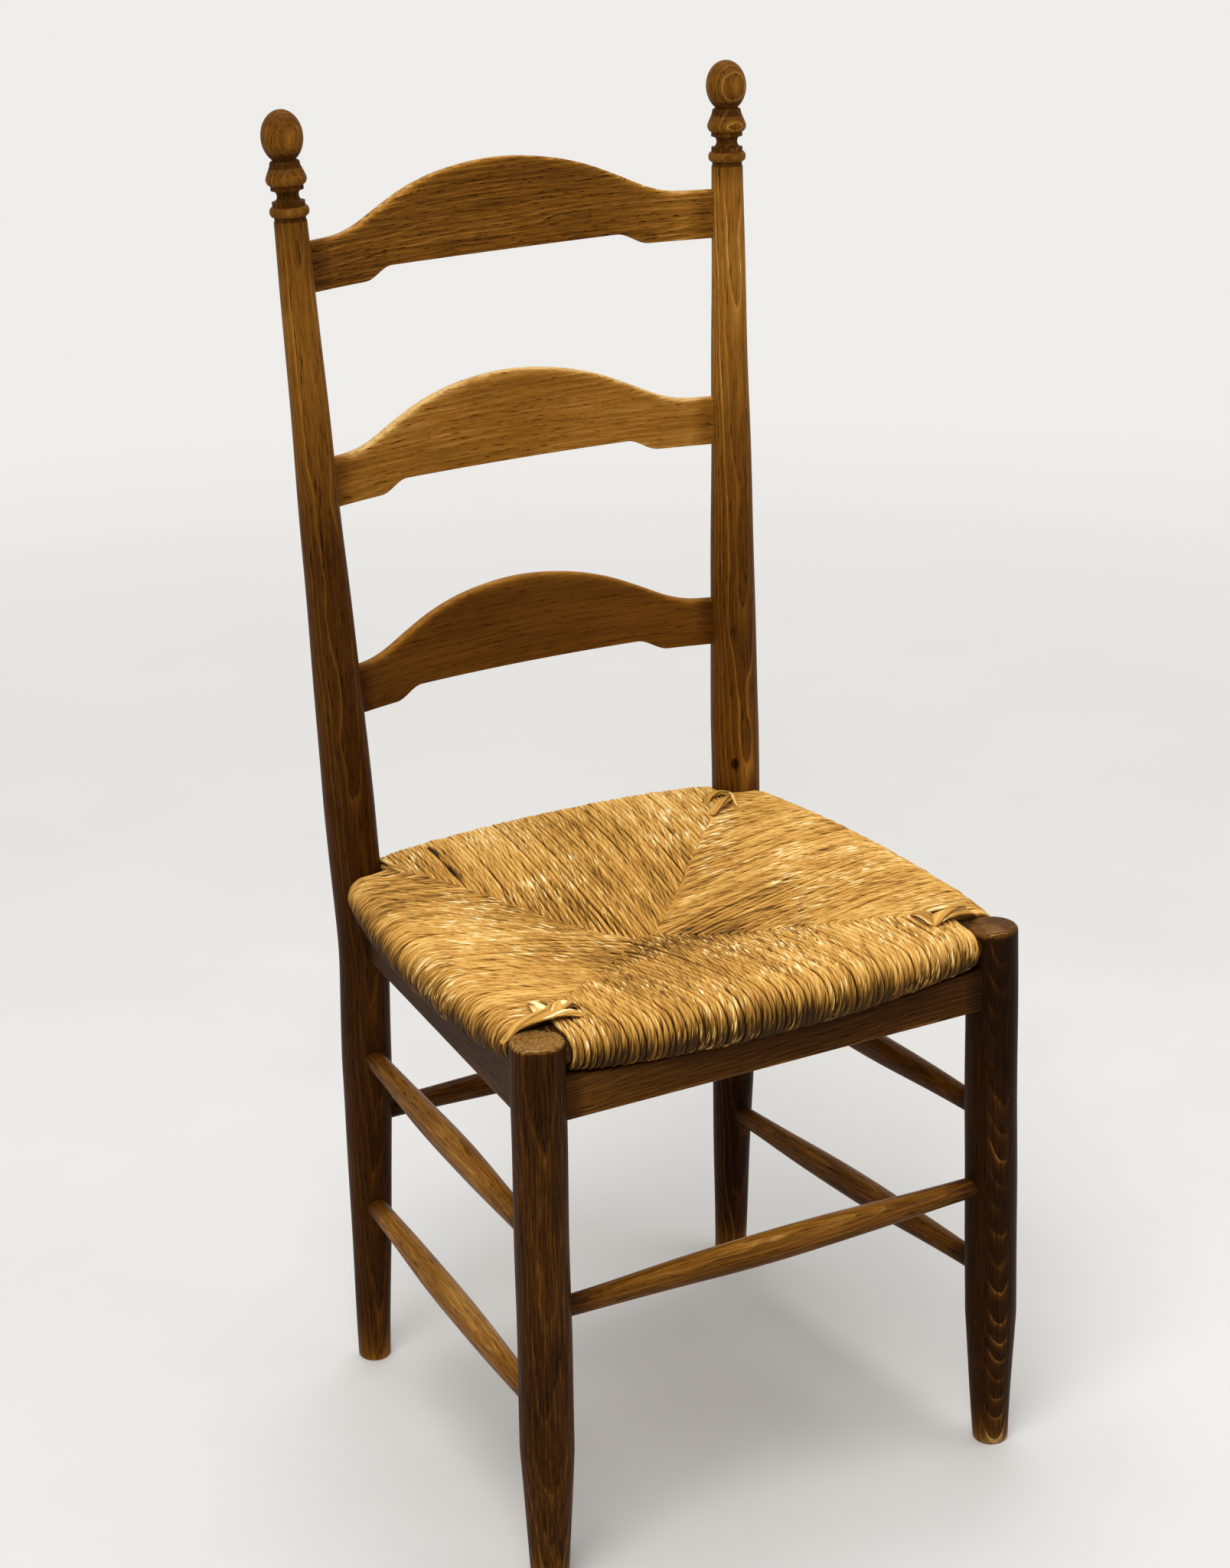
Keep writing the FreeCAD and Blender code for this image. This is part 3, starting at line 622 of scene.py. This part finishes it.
def addSlat(name, s):
    # a section of changing height swept round an arc, then leaned back with the posts.
    # The crest goes through measured heights, and the lower edge is a cosine step over a shallow parabola
    g = slatShape
    postX = rearAxis(1, s.bottom + g.endHeight / 2)[0]
    halfAngle = math.asin((postX - g.endInset) / g.bend)
    angle = np.linspace(-halfAngle, halfAngle, g.rows)
    x = g.bend * np.sin(angle)
    high = smoothed(np.interp(np.abs(x), g.crestAt, g.crest), 10)
    rise = np.clip((g.stepFrom - np.abs(x)) / (g.stepFrom - g.stepTo), 0, 1)
    belly = g.belly * np.clip(1 - (x / g.stepTo) ** 2, 0, 1)
    low = g.step * (0.5 - 0.5 * np.cos(np.pi * rise)) - belly
    section = roundedSection(g.thickness, low, high, g.lowRound, g.crestRound)
    depth, height = section[..., 0], section[..., 1]
    reach = g.bend + depth
    right = rearAxis(1, s.bottom)
    chord = math.sqrt(g.bend ** 2 - right[0] ** 2)
    local = np.stack([reach * np.sin(angle)[:, None], reach * np.cos(angle)[:, None] - chord, height], -1)
    rising = rearAxis(1, g.leanTo) - rearAxis(1, g.leanFrom)
    lean = math.atan2(rising[1], rising[2])
    turn = np.array([[1, 0, 0], [0, math.cos(lean), -math.sin(lean)], [0, math.sin(lean), math.cos(lean)]])
    grid = local @ turn + np.array([0, right[1], s.bottom])
    wear = edgeWear(section, low, high, 0.75, 0.35) - endGrime(np.abs(x), postX, 0.5, 14)
    stain = np.interp(x, np.linspace(x[0], x[-1], len(s.stain)), s.stain)
    grain = grainLayer(depth, height, (g.bend * angle)[:, None], s.seed)
    addWood(name, grid, grain, wear, stain[:, None], {**slatLook, **s.look})


addAll("slats", addSlat, slats)

apronShape = Sizes(
    thickness=18, lowRound=1.6, highRound=1.2,
    endTop=427.3,
    hollow=0.445,  # half length of the hollow, as a share of the board
    ends=(0.03, 0.97), rows=90,
    underRoll=(0.45, 7),  # painted shade under the roll of rush: amount and reach
)
apronLook = dict(late=0.26, pith=(-30, 70), pithLean=(0.03, 0.06), ringWidth=3.6, wander=15, pores=0.34,
                 poreStretch=0.06, fibre=0.4, stops=darkStain)
aprons = {  # face is how far the outer face lies out from the line between the uprights' axes
    "front_apron": Sizes(
        start=frontAxis(-1, 391), end=frontAxis(1, 391), face=12, middleTop=417.3, tone=0.52,
        stain=([0, 0.3, 1], [0.06, 0.0, -0.06]), seed=73),
    "right_apron": Sizes(
        start=frontAxis(1, 381), end=rearAxis(1, 387), face=4.5, middleTop=419.8, tone=0.4,
        stain=([0, 1], [0.0, 0.0]), seed=79),
    "back_apron": Sizes(
        start=rearAxis(1, 387), end=rearAxis(-1, 387), face=9.0, middleTop=421.3, tone=0.44,
        stain=([0, 1], [0.0, 0.0]), seed=83),
    "left_apron": Sizes(
        start=rearAxis(-1, 387), end=frontAxis(-1, 381), face=4.5, middleTop=418.8, tone=0.46,
        stain=([0, 1], [-0.06, 0.06]), seed=89),
}


def addApron(name, s):
    # the lower edge is straight, and the upper one a hollow parabola under the roll of rush
    g = apronShape
    whole = s.end - s.start
    length = np.linalg.norm(whole)
    share = np.linspace(*g.ends, g.rows)
    base = s.start + whole * share[:, None]
    inward = unit(np.cross(up, whole))
    hollow = np.clip(1 - ((share - 0.5) / g.hollow) ** 2, 0, 1)
    high = g.endTop - (g.endTop - s.middleTop) * hollow - base[:, 2]
    low = 0 * share
    section = roundedSection(g.thickness, low, high, g.lowRound, g.highRound)
    depth, height = section[..., 0], section[..., 1]
    fromLine = depth + g.thickness / 2 - s.face
    grid = base[:, None] + fromLine[..., None] * inward + height[..., None] * up
    amount, reach = g.underRoll
    wear = edgeWear(section, low, high, 0.1, 0.55)
    wear -= endGrime(np.abs(share - 0.5) * length, length / 2, 0.6, 12)
    # painted shade: the top edge darkens just under the roll of rush
    wear -= amount * np.clip(1 - (high[:, None] - height) / reach, 0, 1)
    grain = grainLayer(depth, height, (share * length)[:, None], s.seed)
    stain = np.interp(share, *s.stain)[:, None]
    addWood(name, grid, grain, wear, stain, dict(apronLook, tone=s.tone))


addAll("aprons", addApron, aprons)

# the rush seat is one tube per cord, over the rail and back underneath
seat = Sizes(
    railHeight=441,
    rollEnd=(14.5, 2.0, 443),  # radius, outward offset and height beside an upright
    rollMiddle={"front": (20, 11, 438.5), "right": (20, 10, 441),
                "back": (20.5, 9.0, 443), "left": (20, 10, 440)},
    ridge=(-22, -2.0),  # x of the two ends of the line where the front and back quarters meet
    seamLow=428, seamRise=33, seamRiseShare=0.9,
    middleThickness=14, cornerThickness=35,
    level=0.3,  # how level a cord leaves the roll
    uprightRadius=20.6,
    nearest=0.885,  # how far toward a corner the outermost cord meets its seam
    leftCords=33, rightCords=36, ridgeCords=5,
    dive={"front": 2.2, "right": 0.4, "back": 2.2, "left": 0.4},  # how far before its seam a cord dives
    diveSteps=[(1.0, -1.0), (0.85, -0.55), (0.5, -0.2), (0.0, 0.0)],  # shares of the depth back and down
    diveDepth=(2.6, 7.0),
)
cords = Sizes(
    sides=12, rows=(22, 13, 6),  # on top, round the roll and underneath
    thickness=4.9, overlap=1.02,
    twist=62,  # length of one turn of a cord's twist
    sway=((0.35, 31), (0.15, 13)),  # how far sideways, over what length
    lift=0.2, liftWave=(0.15, 19),
    spread=0.05, widthWave=(0.05, 12),
    leaves=3, ripple=0.03,
)

ridgeLeft, ridgeRight = (np.array([x, 0.0, 0]) for x in seat.ridge)
seams = {  # each diagonal seam: its corner, its end on the ridge, and how many cords cross it
    "frontLeft": (frontAxis(-1, seat.railHeight), ridgeLeft, seat.leftCords),
    "frontRight": (frontAxis(1, seat.railHeight), ridgeRight, seat.rightCords),
    "backRight": (rearAxis(1, seat.railHeight), ridgeRight, seat.rightCords),
    "backLeft": (rearAxis(-1, seat.railHeight), ridgeLeft, seat.leftCords),
}
quarters = {  # outward direction, and the seams on both sides
    "front": ((0.0, -1.0, 0.0), "frontLeft", "frontRight"),
    "right": ((1.0, 0.0, 0.0), "frontRight", "backRight"),
    "back": ((0.0, 1.0, 0.0), "backRight", "backLeft"),
    "left": ((-1.0, 0.0, 0.0), "backLeft", "frontLeft"),
}


def loopCorners(quarter, share, near, foot):
    # the middle and radius of the roll, fullest between the uprights, and the seam above and below.
    # The seam rises as a cosine toward the corner, and the seat thickens evenly
    outward, first, last = quarters[quarter]
    start, end = seams[first][0], seams[last][0]
    length = np.linalg.norm(end - start)
    s = np.minimum(1, np.abs(share - 0.5) * length / (length / 2 - seat.uprightRadius))
    fullness = 1 - s ** 2
    ends, middle = seat.rollEnd, seat.rollMiddle[quarter]
    radius = ends[0] + (middle[0] - ends[0]) * np.sqrt(fullness)
    offset = ends[1] + (middle[1] - ends[1]) * fullness
    centre = (start + (end - start) * share[:, None]) * (1, 1, 0) + np.array(outward) * offset[:, None]
    centre[:, 2] = ends[2] + (middle[2] - ends[2]) * fullness
    rise = 0.5 - 0.5 * np.cos(np.pi * np.minimum(1, near / seat.seamRiseShare))
    seamTop, seamLow = foot.copy(), foot.copy()
    seamTop[:, 2] = seat.seamLow + seat.seamRise * rise
    thickness = seat.middleThickness + (seat.cornerThickness - seat.middleThickness) * near
    seamLow[:, 2] = seamTop[:, 2] - thickness
    return centre, radius, seamTop, seamLow


def loops(quarter, share, near, foot, inset, rows, dives):
    # top: quadratic curve that leaves the seam and ends level on the roll; then half a circle; then straight
    # back. A cord that dives turns down before its seam, between the cords of the next quarter
    centre, radius, seamTop, seamLow = loopCorners(quarter, share, near, foot)
    outward = np.array(quarters[quarter][0])
    reach = (radius - inset)[:, None]
    crown, under = centre + up * reach, centre - up * reach
    seamIn, lowIn = seamTop - up * inset, seamLow + up * inset
    level = crown + (seamIn - crown) * seat.level
    level[:, 2] = crown[:, 2]
    t = np.linspace(0, 1, rows[0])[None, :, None]
    top = (1 - t) ** 2 * seamIn[:, None] + 2 * t * (1 - t) * level[:, None] + t ** 2 * crown[:, None]
    turn = np.linspace(0, np.pi, rows[1] + 2)[None, 1:-1, None]
    roll = centre[:, None] + reach[:, None] * (up * np.cos(turn) + outward * np.sin(turn))
    t = np.linspace(0, 1, rows[2])[None, :, None]
    low = under[:, None] + (lowIn - under)[:, None] * t
    if not dives:
        return np.concatenate([top, roll, low], 1)
    shares = np.array(seat.diveSteps)[None, :, :, None]
    backward, downward = seat.diveDepth
    step = shares[:, :, 0] * -outward * backward + shares[:, :, 1] * up * downward
    back = outward * seat.dive[quarter]
    topDive = seamIn[:, None] + back + step
    lowDive = (lowIn[:, None] + back + step * (1, 1, -0.6))[:, ::-1]
    return np.concatenate([topDive, top[:, 2:], roll, low[:, :-1], lowDive], 1)


def seamShares(quarter):
    # corners, direction and length of a quarter's rail, and the seams' inner ends, also as shares of the rail
    outward, first, last = quarters[quarter]
    corners, apexes, counts = zip(seams[first], seams[last])
    start, end = (corner * (1, 1, 0) for corner in corners)
    along = np.cross(up, outward)
    width = (end - start) @ along
    return start, end, along, width, [((apex - start) @ along) / width for apex in apexes], apexes, counts


def quarterCords(quarter):
    # cords start evenly spaced on each seam, and a few on the ridge, and lie square to their rail
    start, end, along, width, (firstShare, lastShare), (apexFirst, apexLast), counts = seamShares(quarter)

    def nearness(count):
        return (np.arange(count) + 0.5) / count * seat.nearest

    near1, near2 = nearness(counts[0])[::-1], nearness(counts[1])
    middle = seat.ridgeCords if abs(lastShare - firstShare) > 0.01 else 0
    between = (np.arange(middle) + 0.5) / max(middle, 1)
    share = np.concatenate([firstShare * (1 - near1), firstShare + (lastShare - firstShare) * between,
                            lastShare + (1 - lastShare) * near2])
    near = np.concatenate([near1, 0 * between, near2])
    foot = np.concatenate([apexFirst + (start - apexFirst) * near1[:, None],
                           apexFirst + (apexLast - apexFirst) * between[:, None],
                           apexLast + (end - apexLast) * near2[:, None]])
    return share, near, foot, along, np.gradient(share) * width


def ovalTube(path, across, normal, wide, thick, angle, ripple):
    # point = path + wide * cos a * across + thick * sin a * normal, both times the ripple
    return (path[..., None, :] + (wide[..., None] * np.cos(angle) * ripple)[..., None] * across[..., None, :]
            + (thick[..., None] * np.sin(angle) * ripple)[..., None] * normal[..., None, :])


rushTone = Sizes(  # what is added to the tone: amounts, and places in mm
    # painted light: the cords are paler toward the corners
    far=0.07, farSize=(190, 175), farFrom=0.55, farReach=0.5,
    worn=-0.22, wornAt=(-5, -38), wornSize=(70, 24), wornSlant=(0.25, -30),
    right=0.06, rightReach=120,
    # painted shade, with some dirt: darker toward the bottom of the rolls' faces
    face=-0.52, faceTop=456, faceFall=20, faceAt=(185, 165), faceReach=14,
    # painted shadow: two dark slits where there are gaps between the cords
    slit=-0.9, slits=((-113, 171), (-114, 134)), slitSize=(2.4, 9),
)


def rushShade(grid):
    # worn dark in front of the middle, painted shade and dirt down the rolls' faces, painted light at the
    # corners, painted shadow in two slits
    x, y, z = (grid[..., axis] for axis in range(3))
    g = rushTone
    slant, slantY = g.wornSlant
    wornX, slitX = (x - g.wornAt[0] - slant * (y - slantY)) / g.wornSize[0], g.slitSize[0]
    worn = np.exp(-wornX ** 2 - ((y - g.wornAt[1]) / g.wornSize[1]) ** 2)
    outside = np.maximum(np.abs(x) - g.faceAt[0], np.abs(y) - g.faceAt[1])
    # painted shade and dirt down the face of the rolls
    face = np.clip((g.faceTop - z) / g.faceFall, 0, 1) * np.clip(outside / g.faceReach, 0, 1)
    # painted light toward the corners
    outward = np.hypot(x / g.farSize[0], y / g.farSize[1])
    far = np.clip((outward - g.farFrom) / g.farReach, 0, 1)
    # painted shadow in two slits between cords
    slits = sum(np.exp(-((x - atX) / slitX) ** 2 - ((y - atY) / g.slitSize[1]) ** 2)
                for atX, atY in g.slits)
    return (g.far * far + g.worn * worn + g.right * np.clip(x / g.rightReach, 0, 1)
            + g.face * face + g.slit * slits)[..., None]


def addQuarter(quarter, finish):
    # each cord is an oval tube along its loop that sways, lifts and swells a little, with three leaves'
    # ripple wound round it
    g = cords
    share, near, foot, along, spacing = quarterCords(quarter)
    paths = loops(quarter, share, near, foot, g.thickness / 2, g.rows, True)
    count = len(paths)
    length = distances(paths)
    phase = chance.uniform(0, 2 * np.pi, (4, count, 1))
    sway = sum(far * np.sin(length / wave + own) for (far, wave), own in zip(g.sway, phase))
    paths = paths + sway[..., None] * along
    tangent = unit(np.gradient(paths, axis=1))
    across = np.broadcast_to(along, tangent.shape)
    normal = unit(np.cross(tangent, across))
    normal = normal * np.sign(normal[:, 8, 2])[:, None, None]  # outward on the top of the seat
    rise, wave = g.liftWave
    lift = chance.normal(0, g.lift, (count, 1)) + rise * np.sin(length / wave + phase[2])
    paths = paths + lift[..., None] * normal
    around = np.linspace(0, 1, g.sides, endpoint=False)
    angle = 2 * np.pi * around - np.pi / 2  # column 0 lies on the inner side
    swell = 1 + g.widthWave[0] * np.sin(length / g.widthWave[1] + phase[3])
    wide = (spacing / 2 * g.overlap)[:, None] * swell
    thick = g.thickness / 2 * chance.normal(1, g.spread, (count, 1))
    wound = around[None, None] - length[..., None] / g.twist - phase[0][..., None]
    ripple = 1 + g.ripple * np.cos(g.leaves * 2 * np.pi * wound)
    grid = ovalTube(paths, across, normal, wide, thick, angle, ripple)
    own = chance.uniform(0, 1, (count, 1, 1))
    cord = np.stack(np.broadcast_arrays(length[..., None], around[None, None], own), -1)
    addPiece("rush_" + quarter, grid, {"cord": cord, "shade": rushShade(grid)}, finish, ["rush_seat"])


# noise in the leaves: scale across and along them, shift and gap between cords, detail, roughness
leafNoise = {
    "tint": (3.5, 0.012, 53, 31, 2.0, 0.5), "streak": (15, 0.035, 53, 11, 3.0, 0.7),
    "highlightDash": (10, 0.06, 53, 91, 1.0, 0.5), "crack": (10, 0.045, -53, 71, 1.0, 0.5),
}
strawLook = Sizes(
    tone=0.49, twist=cords.twist, roughness=0.56,
    relief=dict(strength=0.5, depth=0.0005),
    stops=[(0.0, (0.04, 0.016, 0.002)), (0.22, (0.19, 0.082, 0.009)), (0.5, (0.62, 0.31, 0.058)),
           (0.75, (0.88, 0.55, 0.155)), (1.0, (0.98, 0.84, 0.46))],
)


def rushFinish(name, look):
    # leaves wind slowly round each cord, so their colour follows lines that climb as they go along it,
    # and the sides where cords touch, their inner halves and the valleys between leaves are darkened as
    # painted shade
    f = materialNodes(name)
    along, around, own = f.parts(f.layer("cord"))
    leaf = around - along / look.twist

    def inLeaves(across, lengthwise, shift, gap, detail, roughness):
        place = f.vector(leaf * across + own * shift, along * lengthwise, own * gap)
        return f.noise(place, 1.0, detail, roughness)

    tint, streak, highlightDash, crack = (inLeaves(*scales) for scales in leafNoise.values())
    # painted shade on the sides where cords touch and on their inner halves
    touchingShade = (((around - 0.5) ** 2.0) ** 0.5).between(0.11, 0.25)
    # painted shade in the valleys between leaves, which the bump also sinks
    strand = (leaf * 5.0 + own * 7.0).fraction()
    shadedValley = 1.0 - strand.between(0.0, 0.16) * (1.0 - strand.between(0.84, 1.0))
    place = f.place()
    broad = f.noise(place, scale=9.0, detail=3.0, roughness=0.55)
    # painted highlights: sparse cream dashes, which are also a little glossier
    highlightDash = highlightDash.between(0.6, 0.65) * f.noise(place, scale=15, detail=2.0).between(0.44, 0.6)
    crack = crack.between(0.61, 0.66)
    tone = (look.tone + (tint - 0.5) * 0.6 + (streak - 0.5) * 0.95 + (own - 0.5) * 0.14
            + (broad - 0.5) * 0.5 + f.layer("shade", "Fac") - touchingShade * 0.34 - shadedValley * 0.2
            - crack * 0.24 + highlightDash * 0.55)
    height = (1.0 - shadedValley) * 0.6 + streak * 0.35 - crack * 0.3
    return f.finished(f.ramp(look.stops, tone.clamped()), look.roughness - highlightDash * 0.16, height,
                      look.relief, Specular_IOR_Level=0.1)


print("rush")
straw = rushFinish("straw", strawLook)
for quarter in quarters:
    addQuarter(quarter, straw)

# flat straps and loose ends at the corners: marks are mm on the seat, with z above the cords they lie on
straps = {
    "front_left_strap": Sizes(
        marks=[(-214, -149, 446), (-203, -151, 458), (-186, -158, 464.5), (-168, -160, 465),
               (-153, -160, 458)],
        width=15, thick=4.0, shade=0.08),
    "front_left_fold": Sizes(
        marks=[(-171, -126, 458), (-175, -136, 463.5), (-178, -148, 464.5), (-180, -158, 463)],
        width=17, thick=3.6, shade=0.04),
    "front_left_turn": Sizes(
        marks=[(-150, -144, 458), (-159, -148, 464), (-170, -154, 466), (-183, -163, 464)],
        width=15, thick=3.6, shade=0.1),
    "front_right_fold": Sizes(
        marks=[(153, -134, 459), (154, -142, 463), (154, -152, 464), (155, -162, 460)],
        width=11, thick=3.2, shade=0.04),
    "front_right_strap": Sizes(
        marks=[(152, -160, 459), (160, -158, 464), (174, -156, 464.5), (188, -153, 461), (202, -149, 452)],
        width=13, thick=3.6, shade=0.08),
    "front_right_turn": Sizes(
        marks=[(154, -136, 459), (163, -140, 463.5), (178, -144, 463.5), (194, -142, 459), (206, -139, 451)],
        width=8.0, thick=3.2, shade=0.04),
    "back_right_loop": Sizes(
        marks=[(129, 149, 458), (138, 156, 462.5), (149, 158, 463), (155, 149, 463.5), (151, 134, 459)],
        width=7.0, thick=3.4, shade=0.0),
    "back_right_turn": Sizes(
        marks=[(124, 128, 458), (134, 133, 463), (145, 138, 464.5), (158, 149, 459)],
        width=8.0, thick=3.4, shade=0.04),
    "back_right_end": Sizes(
        marks=[(154, 154, 462), (154, 145, 465.5), (149, 128, 461)], width=2.4, thick=1.8, shade=0.3),
    "back_left_end": Sizes(
        marks=[(-157, 180, 456), (-158, 170, 463), (-159, 154, 464.5), (-154, 136, 463.5)],
        width=3.6, thick=3.0, shade=0.3),
}
strapShape = Sizes(
    rows=36, sides=44, smoothing=8,
    thinning=0.45,  # how much thinner the ends are
    flutes=11, fluteDepth=0.07, fluteWave=12,
    patternAlong=0.3, patternAround=(0.5, 0.25),
)


def addStrap(name, s):
    # an oval section, thinner toward its ends, carried along a smoothed line through the marks.
    # Little of its length and width reach the pattern, so that the leaves lie along the strap
    g = strapShape
    marks = np.array(s.marks, float)
    at = np.linspace(0, len(marks) - 1, g.rows)
    line = [np.interp(at, np.arange(len(marks)), marks[:, axis]) for axis in range(3)]
    path = np.stack([smoothed(values, g.smoothing) for values in line], -1)
    _, normal, across = squareTo(path, up)
    length = distances(path)[:, None]
    ends = 1 - np.linspace(-1, 1, g.rows) ** 6 * g.thinning
    around = np.linspace(0, 1, g.sides, endpoint=False)
    angle = 2 * np.pi * around - np.pi / 2
    flute = 1 + g.fluteDepth * np.cos(g.flutes * angle + length / g.fluteWave)
    grid = ovalTube(path, across, normal, s.width / 2 * ends, s.thick / 2 * ends, angle, flute)
    scale, shift = g.patternAround
    cord = np.stack(np.broadcast_arrays(length * g.patternAlong, around * scale + shift,
                                        chance.uniform(0, 1)), -1)
    layers = {"cord": cord, "shade": np.full(cord.shape[:2] + (1,), s.shade)}
    addPiece(name, grid, layers, straw, ["rush_seat"])


addAll("straps", addStrap, straps)

stuffing = Sizes(
    inset=4.6,  # a cord's thickness inside the strands
    nearest=0.93, loops=12, rows=(9, 7, 5),
    # the low tone is painted shade: the stuffing shows dark between the cords
    tone=0.16, patternStep=8.0, patternTurns=60,
)


def addStuffing():
    # the imported stuffing: the same loops, drawn inside the strands, and dark as painted shade inside the
    # seat
    g = stuffing
    near = np.linspace(g.nearest, 0.0, g.loops)
    grids = []
    for quarter in quarters:
        start, end, _, _, (a, b), (apexFirst, apexLast), _ = seamShares(quarter)
        share = np.concatenate([a * (1 - near), b + (1 - b) * near[::-1]])
        foot = np.concatenate([apexFirst + (start - apexFirst) * near[:, None],
                               apexLast + (end - apexLast) * near[::-1, None]])
        both = np.concatenate([near, near[::-1]])
        grids.append(loops(quarter, share, both, foot, g.inset, g.rows, False))
    grid = np.stack(grids)
    length = np.cumsum(np.full(grid.shape[:3], g.patternStep), 2)
    turns = np.linspace(0, g.patternTurns, grid.shape[1])[None, :, None]
    cord = np.stack(np.broadcast_arrays(length, turns, 0.5), -1)
    finish = rushFinish("inner_straw", Sizes(strawLook, tone=g.tone))
    layers = {"cord": cord, "shade": 0 * cord[..., :1]}
    core = addPiece("stuffing", grid, layers, finish, ["seat_stuffing"])


def finishRail(name):
    # bare wood for a rail that the rush hides
    f = materialNodes(name)
    stretched = f.node("Mapping", {}, {"Vector": f.place(), "Scale": (30, 30, 400)})
    lines = f.noise(stretched, detail=3.0)
    tint = f.ramp([(0.3, (0.18, 0.09, 0.035)), (0.7, (0.40, 0.25, 0.12))], lines)
    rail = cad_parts[name].data.materials
    rail.clear()
    rail.append(f.finished(tint, 0.6 + lines * 0.2, lines, dict(strength=0.3, depth=0.0004)))


print("stuffing and rails")
addStuffing()
for name in ("front_seat_rail", "right_seat_rail", "back_seat_rail", "left_seat_rail"):
    finishRail(name)

studio = Sizes(
    pale=(0.86, 0.85, 0.825),  # what the camera sees far from the chair
    floorStops=[(0.3, (0.79, 0.785, 0.765)), (0.7, (0.83, 0.825, 0.805))],
    floorHalf=40, fadeFrom=0.5, fadeTo=3.2,  # metres
    sky=(1.0, 0.985, 0.96), skyStrength=0.36,
)
lights = {  # places and targets in metres, power in watts
    "key": Sizes(place=(-1.5, -1.4, 3.4), target=(0, 0, 0.5), size=2.0, power=72),
    "fill": Sizes(place=(2.6, -1.6, 2.4), target=(0, 0, 0.5), size=2.4, power=20),
    "top": Sizes(place=(0.3, 0.7, 3.4), target=(0, 0, 0.4), size=2.0, power=44),
}
view = Sizes(
    place=(-1.1893, -2.1419, 1.5139),  # metres, from the middle of the seat
    turn=-28.311, down=21.388, roll=-1.1082,  # degrees
    lens=77.635, sensor=36, farthest=200,
)


def addFloor():
    # its own shadows near the chair; further off, the camera sees an even near-white
    s = studio.floorHalf
    mesh = bpy.data.meshes.new("floor")
    mesh.from_pydata([(-s, -s, 0), (s, -s, 0), (s, s, 0), (-s, s, 0)], [], [(0, 1, 2, 3)])
    floor = addObject("floor", mesh)
    f = materialNodes("floor")
    place = f.place()
    cloud = f.noise(place, scale=3.0, detail=3.0)
    relief = dict(strength=0.05, depth=0.001)
    mesh.materials.append(f.finished(f.ramp(studio.floorStops, cloud), 0.8 + cloud * 0.1, cloud, relief))
    x, y, _ = f.parts(place)
    far = ((x * x + y * y) ** 0.5).between(studio.fadeFrom, studio.fadeTo)
    even = f.node("Emission", {}, {"Color": (*studio.pale, 1.0), "Strength": 1.0}, "Emission")
    own = Value(f, f.tree.nodes["Principled BSDF"].outputs["BSDF"])
    f.blend(far * f.seen(), own, even)


def addWorld():
    # a soft sky gives light, and the camera sees the pale backdrop in its place
    world = bpy.data.worlds.new("studio")
    bpy.context.scene.world = world
    f = Finish(world)
    colour = {"Color": (*studio.sky, 1.0), "Strength": studio.skyStrength}
    sky = f.node("Background", {}, colour, "Background")
    backdrop = f.node("Background", {}, {"Color": (*studio.pale, 1.0)}, "Background")
    f.blend(f.seen(), sky, backdrop)


def turnTo(thing, right, above, back, place):
    # a lamp or camera looks along its -Z, so its back is the third column of its matrix
    axes = np.stack([right, above, back], 1)
    thing.matrix_world = Matrix([[*row, at] for row, at in zip(axes, place)] + [[0, 0, 0, 1]])


def addLight(name, s):
    # an area lamp whose back points away from its target
    light = bpy.data.lights.new(name, "AREA")
    light.size = s.size
    light.energy = s.power
    back = unit(np.array(s.place, float) - s.target)
    right = unit(np.cross(up, back))
    turnTo(addObject(name, light), right, np.cross(back, right), back, s.place)


def addCamera():
    # right, up and back of the camera: turned about Z, tilted down, then rolled about the line of sight
    yaw, pitch, roll = (math.radians(view[k]) for k in ("turn", "down", "roll"))
    ahead = np.array([-math.sin(yaw) * math.cos(pitch), math.cos(yaw) * math.cos(pitch), -math.sin(pitch)])
    level = np.array([math.cos(yaw), math.sin(yaw), 0.0])
    upright = np.cross(level, ahead)
    right = math.cos(roll) * level + math.sin(roll) * upright
    above = -math.sin(roll) * level + math.cos(roll) * upright
    data = bpy.data.cameras.new("camera")
    data.lens = view.lens
    data.sensor_width = view.sensor
    data.clip_end = view.farthest
    camera = addObject("camera", data)
    turnTo(camera, right, above, -ahead, np.array(view.place) - (0, seatMiddleY * 0.001, 0))
    bpy.context.scene.camera = camera


addAll("lights", addLight, lights)
print("floor, world and camera")
addFloor()
addWorld()
bpy.context.scene.view_settings.view_transform = "Standard"
addCamera()
